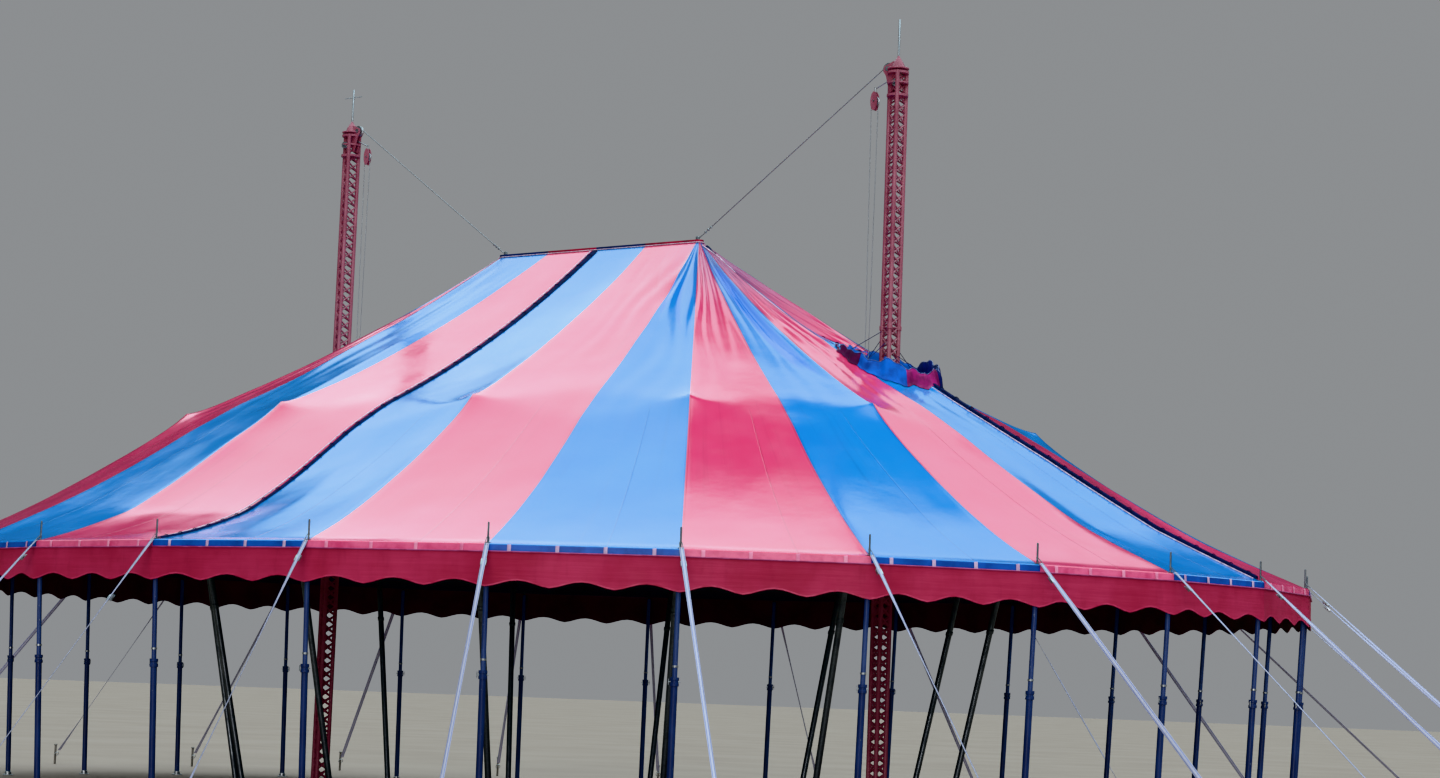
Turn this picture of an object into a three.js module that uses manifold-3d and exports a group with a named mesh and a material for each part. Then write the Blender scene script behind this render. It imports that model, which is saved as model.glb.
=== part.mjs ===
// Big top tent: an oval canopy of 28 striped panels, laced together in four quarters. It hangs from a
// short ridge beam between two lattice masts, twelve leaning quarter poles push it up, and 28 side poles
// hold its eave out, each guyed by a webbing strap to a stake.
// Millimetres, +Z up. The origin is on the ground under the middle of the ridge beam. +X runs along the
// ridge to the right, and the front long side looks along -Y.
import * as THREE from "three";
import { mergeVertices } from "three/addons/utils/BufferGeometryUtils.js";
import Module from "manifold-3d";

const wasm = await Module();
wasm.setup();

// The eave oval and its seams
const SEAMS = 28;
const QUARTER_SEAMS = SEAMS / 4;
const EAVE_HALF_LENGTH = 9560;
const EAVE_HALF_WIDTH = 7400;
const EAVE_HEIGHT = 3000;

// The canopy: its top edge lies against the ridge beam, and a crease runs round it over the quarter poles
const RIDGE_HALF_LENGTH = 1640;
const RIDGE_HEIGHT = 7250;
const CREASE_SHARE = 0.564;
const CANVAS_THICKNESS = 14;
const CANVAS_BORDER = 45;
const BORDER_DROP = 16;
const SEAM_GAP = 0.4;
const CLEARANCE = 0.4;

// Heights of the seams at the crease, and their sags above and below it
const POLE_SEAM = { crease: 4890, upperSag: 160, lowerSag: 160, share: CREASE_SHARE };
const PLAIN_SEAM = { crease: 4790, upperSag: 120, lowerSag: 120, share: CREASE_SHARE };
const LACED_SEAM = { crease: 4690, upperSag: 190, lowerSag: 240, share: CREASE_SHARE };
const MAST_SEAM = { crease: 5660, upperSag: 330, lowerSag: 80, share: 0.374 };
const UPPER_ROWS = 4;
const LOWER_ROWS = 4;

// The valance
const VALANCE_DROP = 445;
const VALANCE_THICKNESS = 8;
const SCALLOPS_PER_BAY = 3;
const SCALLOP_DEPTH = 70;
const SCALLOP_STEPS = 4;

// Side poles, straps and stakes
const POLE_LEAN = 150;
const LOWER_TUBE_RADIUS = 35;
const UPPER_TUBE_RADIUS = 26;
const TUBE_JOINT_HEIGHT = 1700;
const CLAMP_RADIUS = 46;
const CLAMP_HEIGHT = 90;
const FOOT_RADIUS = 75;
const FOOT_HEIGHT = 10;
const SPIKE_RADIUS = 10;
const SPIKE_HEIGHT = 220;
const SHOULDER_HEIGHT = 30;
const STRAP_WIDTH = 50;
const STRAP_THICKNESS = 8;
const STRAP_RISE = 60;
const STRAP_SLOPE = 1.17;
const SIDE_STRAP_SLOPE = 0.85;
const SIDE_SEAMS = 2;
const STRAP_FOOT_HEIGHT = 130;
const STAKE_RADIUS = 17;
const STAKE_HEIGHT = 320;
const POLE_SIDES = 6;

// Quarter poles
const QUARTER_POLE_RADIUS = 38;
const QUARTER_POLE_LEAN = 1000;
const QUARTER_FOOT_RADIUS = 110;
const QUARTER_HEAD_HEIGHT = 160;
const QUARTER_TIP_RADIUS = 3;
const QUARTER_TIP_DROP = 2.5;

// Masts, collars, ridge beam and its cables
const MAST_PLACE = 4600;
const MAST_HEIGHT = 9230;
const MAST_RADIUS = 115;
const MAST_CHORD_RADIUS = 27;
const MAST_BRACE = 16;
const MAST_PANEL_HEIGHT = 500;
const MAST_BRACE_GAP = 35;
const MAST_BASE = { side: 520, height: 20 };
const MAST_HEAD = { side: 270, height: 90 };
const SHEAVE = { radius: 75, width: 40 };
const ROD_RADIUS = 12;
const ROD_HEIGHT = 620;
const CROSSBAR_LENGTH = 320;
const COLLAR_RADIUS = 600;
const COLLAR_WALL = 14;
const COLLAR_HEIGHT = 400;
const COLLAR_SLOPE = 0.3;
const COLLAR_MIDDLE = 5570;
const COLLAR_SIDES = 24;
const RIDGE_RADIUS = 60;
const RIDGE_DEPTH = 160;
const RIDGE_STAND = 40;
const LUG = { length: 45, width: 30, height: 70 };
const CABLE_RADIUS = 8;

// Finishes
const FINISH = {
  blueCanvas: { color: 0x2f7fd6, roughness: 0.3, metalness: 0 },
  redCanvas: { color: 0xd8467a, roughness: 0.3, metalness: 0 },
  valance: { color: 0x9c2a45, roughness: 0.45, metalness: 0 },
  bluePaint: { color: 0x1d3350, roughness: 0.45, metalness: 0.2 },
  redPaint: { color: 0x8a3148, roughness: 0.5, metalness: 0.2 },
  steel: { color: 0xa8abad, roughness: 0.4, metalness: 0.9 },
};

function solidOf(geometry) {
  const bare = geometry.index ? geometry.toNonIndexed() : geometry.clone();
  bare.deleteAttribute("normal");
  bare.deleteAttribute("uv");
  const merged = mergeVertices(bare, 1e-3);
  return new wasm.Manifold(
    new wasm.Mesh({
      numProp: 3,
      vertProperties: merged.attributes.position.array,
      triVerts: new Uint32Array(merged.index.array),
    }),
  );
}

function geometryOf(solid) {
  const mesh = solid.getMesh();
  return new THREE.BufferGeometry()
    .setAttribute("position", new THREE.BufferAttribute(mesh.vertProperties, 3))
    .setIndex(new THREE.BufferAttribute(mesh.triVerts, 1));
}

function joined(geometries) {
  return geometryOf(geometries.map(solidOf).reduce((whole, next) => whole.add(next)));
}

function cut(geometry, tools) {
  return geometryOf(tools.map(solidOf).reduce((whole, tool) => whole.subtract(tool), solidOf(geometry)));
}

// A closed solid between two grids of points, front[i][j] and back[i][j]
function sheetBetween(front, back, flipped) {
  const columns = front.length;
  const rows = front[0].length;
  const positions = [...front.flat(), ...back.flat()].flatMap((p) => [p.x, p.y, p.z]);
  const faces = [];
  const at = (side, i, j) => side * columns * rows + i * rows + j;
  const quad = (a, b, c, d) => faces.push(a, b, c, a, c, d);
  for (let i = 0; i < columns - 1; i++) {
    for (let j = 0; j < rows - 1; j++) {
      quad(at(0, i, j), at(0, i, j + 1), at(0, i + 1, j + 1), at(0, i + 1, j));
      quad(at(1, i, j), at(1, i + 1, j), at(1, i + 1, j + 1), at(1, i, j + 1));
    }
  }
  for (let i = 0; i < columns - 1; i++) {
    quad(at(0, i, 0), at(0, i + 1, 0), at(1, i + 1, 0), at(1, i, 0));
    const last = rows - 1;
    quad(at(0, i, last), at(1, i, last), at(1, i + 1, last), at(0, i + 1, last));
  }
  for (let j = 0; j < rows - 1; j++) {
    quad(at(0, 0, j), at(1, 0, j), at(1, 0, j + 1), at(0, 0, j + 1));
    const end = columns - 1;
    quad(at(0, end, j), at(0, end, j + 1), at(1, end, j + 1), at(1, end, j));
  }
  if (flipped) {
    faces.reverse();
  }
  return new THREE.BufferGeometry()
    .setAttribute("position", new THREE.Float32BufferAttribute(positions, 3))
    .setIndex(faces);
}

// A round bar whose profile is a list of [radius, height] pairs from the bottom up, on the Z axis
function turned(profile, sides) {
  const points = profile.map(([radius, height]) => new THREE.Vector2(radius, height));
  return new THREE.LatheGeometry(points, sides).rotateX(Math.PI / 2);
}

function boxAt(length, width, height, x, y, z) {
  return new THREE.BoxGeometry(length, width, height).translate(x, y, z);
}

// A straight bar of the given section from one point to another, its width kept level
function barBetween(from, to, width, thickness) {
  const along = to.clone().sub(from);
  const across = new THREE.Vector3(-along.y, along.x, 0).normalize();
  const normal = along.clone().normalize().cross(across);
  const turn = new THREE.Matrix4().makeBasis(along.clone().normalize(), across, normal);
  const middle = from.clone().add(to).multiplyScalar(0.5);
  return new THREE.BoxGeometry(along.length(), width, thickness)
    .applyMatrix4(turn)
    .translate(middle.x, middle.y, middle.z);
}

// The eave point of a seam, counted from the middle of the front side towards +X
function eavePoint(seam) {
  const angle = (2 * Math.PI * seam) / SEAMS;
  return new THREE.Vector3(
    EAVE_HALF_LENGTH * Math.sin(angle),
    -EAVE_HALF_WIDTH * Math.cos(angle),
    EAVE_HEIGHT,
  );
}

// The outward direction in plan at a seam, from the middle of the tent
function outwardAt(seam) {
  return eavePoint(seam).setZ(0).normalize();
}

function seamShape(seam) {
  const place = seam % QUARTER_SEAMS;
  const middle = Math.round(seam / QUARTER_SEAMS);
  if (place === 0) {
    return middle % 2 ? MAST_SEAM : LACED_SEAM;
  }
  return seam % 2 ? POLE_SEAM : PLAIN_SEAM;
}

// The top end of a seam of the first quarter, at a distance from the middle line of the ridge beam
function seamTop(seam, radius) {
  const x = (RIDGE_HALF_LENGTH * Math.min(seam, 2)) / 2;
  if (seam <= 2) {
    return new THREE.Vector3(x, -radius, RIDGE_HEIGHT);
  }
  const away = eavePoint(seam).sub(new THREE.Vector3(x, 0, EAVE_HEIGHT)).normalize();
  return new THREE.Vector3(x + radius * away.x, radius * away.y, RIDGE_HEIGHT);
}

function seamHeight(shape, share) {
  const above = share <= shape.share;
  const part = above ? share / shape.share : (share - shape.share) / (1 - shape.share);
  const start = above ? RIDGE_HEIGHT : shape.crease;
  const end = above ? shape.crease : EAVE_HEIGHT;
  const sag = above ? shape.upperSag : shape.lowerSag;
  return start + (end - start) * part - 4 * sag * part * (1 - part);
}

// The points down one seam of the first quarter, from the ridge to the outer edge of the border
function seamPoints(seam) {
  const top = seamTop(seam, RIDGE_RADIUS + CLEARANCE);
  const eave = eavePoint(seam);
  const shape = seamShape(seam);
  const points = [];
  for (let row = 0; row <= UPPER_ROWS + LOWER_ROWS; row++) {
    const lower = Math.max(row - UPPER_ROWS, 0) / LOWER_ROWS;
    const upper = Math.min(row, UPPER_ROWS) / UPPER_ROWS;
    const share = CREASE_SHARE * upper + (1 - CREASE_SHARE) * lower;
    points.push(top.clone().lerp(eave, share).setZ(seamHeight(shape, share)));
  }
  const border = eave.clone().addScaledVector(outwardAt(seam), CANVAS_BORDER);
  points.push(border.setZ(EAVE_HEIGHT - BORDER_DROP));
  return points.map((p) => p.setX(Math.max(p.x, SEAM_GAP / 2)).setY(Math.min(p.y, -SEAM_GAP / 2)));
}

// The four quarters, as mirror images of the first one
const QUARTERS = [
  { name: "front_right", x: 1, y: 1, finish: FINISH.blueCanvas },
  { name: "front_left", x: -1, y: 1, finish: FINISH.redCanvas },
  { name: "back_left", x: -1, y: -1, finish: FINISH.blueCanvas },
  { name: "back_right", x: 1, y: -1, finish: FINISH.redCanvas },
];

function mirrored(grid, quarter) {
  return grid.map((column) => column.map((p) => new THREE.Vector3(p.x * quarter.x, p.y * quarter.y, p.z)));
}

function quarterSeams() {
  return Array.from({ length: QUARTER_SEAMS + 1 }, (_, seam) => seam);
}

function upright(radius, sides, x, y) {
  const turn = new THREE.CylinderGeometry(radius, radius, RIDGE_HEIGHT, sides).rotateX(Math.PI / 2);
  return turn.translate(x, y, RIDGE_HEIGHT / 2 + EAVE_HEIGHT / 2);
}

function canvasQuarter(quarter) {
  const front = mirrored(quarterSeams().map(seamPoints), quarter);
  const back = front.map((column) => column.map((p) => p.clone().setZ(p.z - CANVAS_THICKNESS)));
  const sheet = sheetBetween(front, back, quarter.x * quarter.y < 0);
  const holes = quarterSeams().map((seam) => {
    const point = eavePoint(seam);
    return upright(SPIKE_RADIUS + CLEARANCE, POLE_SIDES, point.x * quarter.x, point.y * quarter.y);
  });
  return cut(sheet, [...holes, upright(COLLAR_RADIUS, COLLAR_SIDES, MAST_PLACE * quarter.x, 0)]);
}

// The valance hangs from the outer edge of the canvas border. Its lower edge is scalloped, with a low
// point at each pole.
function valanceQuarter(quarter) {
  const steps = SCALLOPS_PER_BAY * SCALLOP_STEPS;
  const outer = [];
  const inner = [];
  for (let step = 0; step <= QUARTER_SEAMS * steps; step++) {
    const seam = Math.min(Math.floor(step / steps), QUARTER_SEAMS - 1);
    const share = step / steps - seam;
    const rim = (reach) => {
      const start = eavePoint(seam).addScaledVector(outwardAt(seam), reach);
      const point = start.lerp(eavePoint(seam + 1).addScaledVector(outwardAt(seam + 1), reach), share);
      return point.setX(Math.max(point.x, SEAM_GAP / 2)).setY(Math.min(point.y, -SEAM_GAP / 2));
    };
    const wave = (1 - Math.cos((2 * Math.PI * step) / SCALLOP_STEPS)) / 2;
    const top = EAVE_HEIGHT - BORDER_DROP;
    const bottom = EAVE_HEIGHT - VALANCE_DROP + SCALLOP_DEPTH * wave;
    const near = rim(CANVAS_BORDER + CLEARANCE);
    const far = rim(CANVAS_BORDER + CLEARANCE + VALANCE_THICKNESS);
    inner.push([near.clone().setZ(top), near.clone().setZ(bottom)]);
    outer.push([far.clone().setZ(top), far.clone().setZ(bottom)]);
  }
  return sheetBetween(mirrored(outer, quarter), mirrored(inner, quarter), quarter.x * quarter.y < 0);
}

// Moves each level of an upright solid sideways, so that it leans while its foot and head stay level
function leaned(geometry, toFoot, top, x, y) {
  const position = geometry.attributes.position;
  for (let i = 0; i < position.count; i++) {
    const share = 1 - Math.min(position.getZ(i), top) / top;
    position.setXY(i, position.getX(i) + x + toFoot.x * share, position.getY(i) + y + toFoot.y * share);
  }
  return geometry;
}

function sidePole(seam) {
  const head = eavePoint(seam);
  const shoulder = EAVE_HEIGHT - CANVAS_THICKNESS - SHOULDER_HEIGHT;
  const profile = [
    [0, 0],
    [FOOT_RADIUS, 0],
    [FOOT_RADIUS, FOOT_HEIGHT],
    [LOWER_TUBE_RADIUS, FOOT_HEIGHT],
    [LOWER_TUBE_RADIUS, TUBE_JOINT_HEIGHT - CLAMP_HEIGHT],
    [CLAMP_RADIUS, TUBE_JOINT_HEIGHT - CLAMP_HEIGHT],
    [CLAMP_RADIUS, TUBE_JOINT_HEIGHT],
    [UPPER_TUBE_RADIUS, TUBE_JOINT_HEIGHT],
    [UPPER_TUBE_RADIUS, shoulder],
    [SPIKE_RADIUS, shoulder + SHOULDER_HEIGHT / 2],
    [SPIKE_RADIUS, EAVE_HEIGHT + SPIKE_HEIGHT],
    [0, EAVE_HEIGHT + SPIKE_HEIGHT],
  ];
  const toFoot = outwardAt(seam).multiplyScalar(-POLE_LEAN);
  return leaned(turned(profile, POLE_SIDES), toFoot, shoulder, head.x, head.y);
}

function stake(foot) {
  const profile = [
    [0, 0],
    [STAKE_RADIUS, 0],
    [STAKE_RADIUS, STAKE_HEIGHT],
    [0, STAKE_HEIGHT],
  ];
  return turned(profile, POLE_SIDES).translate(foot.x, foot.y, 0);
}

// The straps along the middle of the two long sides are anchored nearer than the others
function strapSlope(seam) {
  const fromSide = Math.abs(((seam + QUARTER_SEAMS) % (SEAMS / 2)) - QUARTER_SEAMS);
  return fromSide <= SIDE_SEAMS ? SIDE_STRAP_SLOPE : STRAP_SLOPE;
}

function guyedPole(seam) {
  const start = eavePoint(seam).setZ(EAVE_HEIGHT + STRAP_RISE);
  const drop = start.z - STRAP_FOOT_HEIGHT;
  const end = start.clone().addScaledVector(outwardAt(seam), drop * strapSlope(seam)).setZ(STRAP_FOOT_HEIGHT);
  return joined([
    sidePole(seam),
    barBetween(start, end, STRAP_WIDTH, STRAP_THICKNESS),
    stake(end),
  ]);
}

// A quarter pole stands under the crease of its seam, with its foot nearer the middle
function quarterPole(seam) {
  const turn = Math.floor(seam / QUARTER_SEAMS);
  const place = turn % 2 ? QUARTER_SEAMS * (turn + 1) - seam : seam - QUARTER_SEAMS * turn;
  const first = seamPoints(place)[UPPER_ROWS];
  const head = new THREE.Vector3(
    first.x * Math.sign(eavePoint(seam).x),
    -first.y * Math.sign(eavePoint(seam).y),
    first.z,
  );
  const top = head.z - CANVAS_THICKNESS - CLEARANCE - QUARTER_TIP_DROP;
  const profile = [
    [0, 0],
    [QUARTER_FOOT_RADIUS, 0],
    [QUARTER_FOOT_RADIUS, FOOT_HEIGHT],
    [QUARTER_POLE_RADIUS, FOOT_HEIGHT],
    [QUARTER_POLE_RADIUS, top - QUARTER_HEAD_HEIGHT],
    [QUARTER_TIP_RADIUS, top],
    [0, top],
  ];
  const toFoot = outwardAt(seam).multiplyScalar(-QUARTER_POLE_LEAN);
  return leaned(turned(profile, POLE_SIDES), toFoot, top, head.x, head.y);
}

// A lattice mast with three chords, braced in zigzags, on a base plate, with a sheave head and a rod
function mast(side) {
  const x = MAST_PLACE * side;
  const corners = [0, 1, 2].map((i) => {
    const angle = Math.PI + (2 * Math.PI * i) / 3;
    return new THREE.Vector3(x + MAST_RADIUS * Math.cos(angle), MAST_RADIUS * Math.sin(angle), 0);
  });
  const top = MAST_HEIGHT - MAST_HEAD.height / 2;
  const chordLength = top - MAST_BASE.height / 2;
  const pieces = [
    boxAt(MAST_BASE.side, MAST_BASE.side, MAST_BASE.height, x, 0, MAST_BASE.height / 2),
    boxAt(MAST_HEAD.side, MAST_HEAD.side, MAST_HEAD.height, x, 0, top),
  ];
  corners.forEach((corner, i) => {
    const chord = new THREE.CylinderGeometry(MAST_CHORD_RADIUS, MAST_CHORD_RADIUS, chordLength, 4);
    pieces.push(chord.rotateX(Math.PI / 2).translate(corner.x, corner.y, (top + MAST_BASE.height / 2) / 2));
    const next = corners[(i + 1) % 3];
    const panels = Math.floor((top - MAST_BASE.height) / MAST_PANEL_HEIGHT);
    for (let panel = 0; panel < panels; panel++) {
      const level = MAST_BASE.height + panel * MAST_PANEL_HEIGHT;
      const low = (panel % 2 ? next : corner).clone().setZ(level + MAST_BRACE_GAP);
      const high = (panel % 2 ? corner : next).clone().setZ(level + MAST_PANEL_HEIGHT - MAST_BRACE_GAP);
      pieces.push(barBetween(low, high, MAST_BRACE, MAST_BRACE));
    }
  });
  const sheave = new THREE.CylinderGeometry(SHEAVE.radius, SHEAVE.radius, SHEAVE.width, 12);
  pieces.push(sheave.translate(x - (side * MAST_HEAD.side) / 2, 0, MAST_HEIGHT));
  const rod = new THREE.CylinderGeometry(ROD_RADIUS, ROD_RADIUS, ROD_HEIGHT, 6).rotateX(Math.PI / 2);
  pieces.push(rod.translate(x, 0, MAST_HEIGHT + ROD_HEIGHT / 2 - ROD_RADIUS));
  if (side < 0) {
    const barHeight = MAST_HEIGHT + ROD_HEIGHT * 0.8;
    pieces.push(boxAt(CROSSBAR_LENGTH, ROD_RADIUS, ROD_RADIUS, x, 0, barHeight));
  }
  return joined(pieces);
}

// A collar round a mast: a short sleeve in the hole of the canvas, its rims sloping as the canvas does
function collar(side) {
  const outer = COLLAR_RADIUS - CLEARANCE;
  const profile = [
    [outer - COLLAR_WALL, -COLLAR_HEIGHT / 2],
    [outer, -COLLAR_HEIGHT / 2],
    [outer, COLLAR_HEIGHT / 2],
    [outer - COLLAR_WALL, COLLAR_HEIGHT / 2],
    [outer - COLLAR_WALL, -COLLAR_HEIGHT / 2],
  ];
  const sleeve = turned(profile, COLLAR_SIDES);
  const position = sleeve.attributes.position;
  for (let i = 0; i < position.count; i++) {
    position.setZ(i, position.getZ(i) - side * COLLAR_SLOPE * position.getX(i));
  }
  return sleeve.translate(MAST_PLACE * side, 0, COLLAR_MIDDLE);
}

function ridgeBeam() {
  const edge = quarterSeams().slice(2).map((seam) => seamTop(seam, RIDGE_RADIUS));
  const back = edge.toReversed().map((p) => new THREE.Vector2(p.x, -p.y));
  const half = [...edge.map((p) => new THREE.Vector2(p.x, p.y)), ...back.slice(1)];
  const outline = new THREE.Shape([...half, ...half.map((p) => p.clone().negate())]);
  const top = RIDGE_HEIGHT + RIDGE_STAND;
  const beam = new THREE.ExtrudeGeometry(outline, { depth: RIDGE_DEPTH, bevelEnabled: false });
  beam.translate(0, 0, top - RIDGE_DEPTH);
  const lugs = [-1, 1].map((side) => {
    const place = side * (RIDGE_HALF_LENGTH - LUG.length / 2);
    return boxAt(LUG.length, LUG.width, LUG.height, place, 0, top + LUG.height / 2 - RIDGE_STAND / 2);
  });
  return joined([beam, ...lugs]);
}

// A steel cable from the sheave of a mast down to the lug on the near end of the ridge beam. Each end is
// placed by the corner that comes nearest to the lug or the sheave.
function ridgeCable(side) {
  const lugCorner = new THREE.Vector3(
    RIDGE_HALF_LENGTH + CLEARANCE,
    0,
    RIDGE_HEIGHT + RIDGE_STAND + LUG.height / 2,
  );
  const sheaveCorner = new THREE.Vector3(
    MAST_PLACE - MAST_HEAD.side / 2 - SHEAVE.radius - CLEARANCE,
    0,
    MAST_HEIGHT,
  );
  const rough = sheaveCorner.clone().sub(lugCorner).normalize();
  const upward = new THREE.Vector3(-rough.z, 0, rough.x).multiplyScalar(CABLE_RADIUS);
  const low = lugCorner.sub(upward);
  const high = sheaveCorner.add(upward);
  const angle = Math.atan2(high.z - low.z, high.x - low.x);
  const cable = new THREE.CylinderGeometry(CABLE_RADIUS, CABLE_RADIUS, low.distanceTo(high), POLE_SIDES);
  cable.rotateZ(-Math.PI / 2).rotateY(-angle);
  cable.translate((low.x + high.x) / 2, 0, (low.z + high.z) / 2);
  return side > 0 ? cable : cable.rotateZ(Math.PI);
}

const tent = new THREE.Group();

function add(name, geometry, finish) {
  const mesh = new THREE.Mesh(geometry, new THREE.MeshStandardMaterial(finish));
  mesh.name = name;
  tent.add(mesh);
}

function numbered(name, number) {
  return name + "_" + String(number).padStart(2, "0");
}

QUARTERS.forEach((quarter) => {
  add("canvas_" + quarter.name, canvasQuarter(quarter), quarter.finish);
  add("valance_" + quarter.name, valanceQuarter(quarter), FINISH.valance);
});

for (let seam = 0; seam < SEAMS; seam++) {
  add(numbered("side_pole", seam + 1), guyedPole(seam), FINISH.bluePaint);
}

let quarterPoles = 0;
for (let seam = 1; seam < SEAMS; seam += 2) {
  if (seam % QUARTER_SEAMS !== 0) {
    quarterPoles += 1;
    add(numbered("quarter_pole", quarterPoles), quarterPole(seam), FINISH.steel);
  }
}

[
  ["right", 1],
  ["left", -1],
].forEach(([name, side]) => {
  add("mast_" + name, mast(side), FINISH.redPaint);
  add("mast_collar_" + name, collar(side), FINISH.bluePaint);
  add("ridge_cable_" + name, ridgeCable(side), FINISH.steel);
});
add("ridge_beam", ridgeBeam(), FINISH.bluePaint);

export default tent;
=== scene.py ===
import math

import bmesh
import bpy
from mathutils import Matrix, Vector, noise
from mathutils.bvhtree import BVHTree


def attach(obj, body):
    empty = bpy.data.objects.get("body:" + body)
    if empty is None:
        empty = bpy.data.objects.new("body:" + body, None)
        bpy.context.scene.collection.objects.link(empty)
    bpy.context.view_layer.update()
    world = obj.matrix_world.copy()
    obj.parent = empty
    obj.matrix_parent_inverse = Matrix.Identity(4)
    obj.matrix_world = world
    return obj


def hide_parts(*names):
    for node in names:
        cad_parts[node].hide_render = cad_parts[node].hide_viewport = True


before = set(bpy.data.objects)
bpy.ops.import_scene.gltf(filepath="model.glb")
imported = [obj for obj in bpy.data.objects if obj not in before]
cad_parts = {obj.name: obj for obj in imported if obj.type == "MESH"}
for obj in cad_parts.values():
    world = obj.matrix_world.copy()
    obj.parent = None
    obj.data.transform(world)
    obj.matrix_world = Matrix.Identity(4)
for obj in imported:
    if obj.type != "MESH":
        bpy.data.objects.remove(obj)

# Big top tent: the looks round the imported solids. Metres, +Z up, the origin on the ground under the middle
# of the ridge beam, +X along the ridge to the right, and the front long side looks along -Y. A place is a
# distance round a quarter of the tent in bays, from the middle of its long side, and a share is the part of
# the way from the ridge to the eave.

# The eave oval and its seams, numbered from the middle of the front side towards +X
SEAMS = 28
QUARTER_SEAMS = 7
EAVE_HALF_LENGTH = 9.56
EAVE_HALF_WIDTH = 7.40
EAVE_HEIGHT = 3.0
QUARTER_POLE_SEAMS = [seam for seam in range(1, SEAMS, 2) if seam % QUARTER_SEAMS]

# The quarters, with their signs along X and towards the front, and the two ends
QUARTERS = {"front_right": (1, 1), "front_left": (-1, 1), "back_left": (-1, -1), "back_right": (1, -1)}
ENDS = (("right", 1), ("left", -1))

# The canopy. A seam has the height and the share of its crease, its sags above and below that, how sharply
# the pull on it makes it stand out, and how far its crease is rounded
RIDGE_HALF_LENGTH = 1.64
RIDGE_HEIGHT = 7.25
RIDGE_RADIUS = 0.0604
CREASE_SHARE = 0.564
SEAM_GAP = 0.0004
POLE_SEAM = {"crease": 4.89, "sags": (0.16, 0.16), "share": CREASE_SHARE, "pull": 1.8, "soft": 0.0}
PLAIN_SEAM = {"crease": 4.79, "sags": (0.12, 0.12), "share": CREASE_SHARE, "pull": 0.0, "soft": 1.0}
LACED_SEAM = {"crease": 4.69, "sags": (0.19, 0.24), "share": CREASE_SHARE, "pull": 1.0, "soft": 1.0}
MAST_SEAM = {"crease": 5.66, "sags": (0.33, 0.08), "share": 0.374, "pull": 1.0, "soft": 0.0}
BAY_COLUMNS = 20
UPPER_ROWS = 34
LOWER_ROWS = 26
CREASE_EDGE = 0.006
CREASE_SOFTENING = 0.07
SOFTENING_REACH = 0.2
CREST_SHIFT = 0.2
CREST_WIDTH = 0.4
HEAD_DIMPLE = 0.03
HEAD_REACH = 0.3

# The turned-down border: the reach and drop of its rows as parts of its sizes, how far apart the rows are in
# the cut, and about how wide a bay is there
CANVAS_BORDER = 0.045
BORDER_DROP = 0.016
BORDER_ROWS = ((0.4, 0.06), (0.75, 0.3), (0.95, 0.7), (1.0, 1.0))
BORDER_ROW_SHARE = 0.0015
BORDER_BAY = 2.0

# Slack folds above the eave beside the laced joints, with a wide one to the left of each long side's joint
FOLD_START = 0.66
FOLD_SHARE = 0.82
FOLD_DEPTH = 0.08
FOLD_WIDTH = 0.4
WIDE_FOLD_WIDTH = 2.0
WIDE_FOLD_GROWTH = 0.03
WIDE_FOLD_DROP = 0.02
END_FOLD_SHARE = 0.84
END_FOLD_DEPTH = 0.06
END_FOLD_PLACE = 5.9
END_FOLD_WIDTH = 0.3

# Sharp wrinkles below the ridge: place and share at both ends, depth and half width
FURROWS = (
    (1.52, 0.04, 1.9, 0.2, 0.01, 0.045),
    (1.27, 0.04, 1.36, 0.15, 0.008, 0.04),
    (1.93, 0.08, 2.18, 0.25, 0.018, 0.045),
    (2.15, 0.06, 2.85, 0.34, 0.012, 0.055),
    (3.87, 0.08, 3.6, 0.42, 0.012, 0.04),
    (3.85, 0.22, 3.97, 0.38, 0.009, 0.04),
    (4.45, 0.05, 4.66, 0.43, 0.026, 0.075),
    (4.68, 0.08, 4.72, 0.36, 0.016, 0.045),
    (4.66, 0.14, 4.86, 0.46, 0.02, 0.055),
    (5.5, 0.12, 5.05, 0.36, 0.016, 0.055),
)
# How deep a wrinkle is where the painted shade in it is full
FURROW_SHADE_DEPTH = 0.018
FAINT_FURROWS = 0.5
FAINT_FURROW_SHIFT = 0.12

# Slow and fine unevenness, gathers below the ridge, and how near the edges they die out
WANDER_SCALE = 0.8
WANDER_DEPTH = 0.014
FINE_SCALE = 2.1
FINE_DEPTH = 0.005
GATHER_START = 1.2
GATHER_RISE = 0.8
GATHER_SHARE = 0.13
GATHERS_PER_BAY = 2.7
GATHER_DEPTH = 0.011
JOINT_CALM = 0.35
RIDGE_CALM = 0.08
EAVE_CALM = 0.06

# Painted shade below the ridge ends
RIDGE_SHADE_MOST = 0.95
RIDGE_SHADE_START = 1.2
RIDGE_SHADE_RISE = 4.0
RIDGE_SHADE_SHARE = 0.17

# The valance, its coloured border and its tabs, with the reach and height of a tab's points from the eave
VALANCE_COLUMNS = 24
VALANCE_ROWS = 9
VALANCE_DROP = 0.445
SCALLOPS_PER_BAY = 3
SCALLOP_DEPTH = 0.07
SCALLOP_FULLNESS = 0.8
HEM_HEIGHT = 0.016
BORDER_HEIGHT = 0.07
VALANCE_REACH = 0.049
VALANCE_CALM = 0.3
VALANCE_FOLD = 0.006
VALANCE_FLUTTER = 0.016
VALANCE_RIPPLE = 0.004
EAVE_ROPE_STEPS = 6
EAVE_ROPE_RADIUS = 0.008
TAB_PLACES = (0.116, 0.366, 0.614, 0.864)
TAB_POINTS = ((0.05, -0.012), (0.056, -0.024), (0.057, -0.05), (0.06, -0.086))
TAB_WIDTH = 0.04
TAB_THICKNESS = 0.004

# How thick the sheets are
CANVAS_THICKNESS = 0.004
VALANCE_THICKNESS = 0.003

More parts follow.
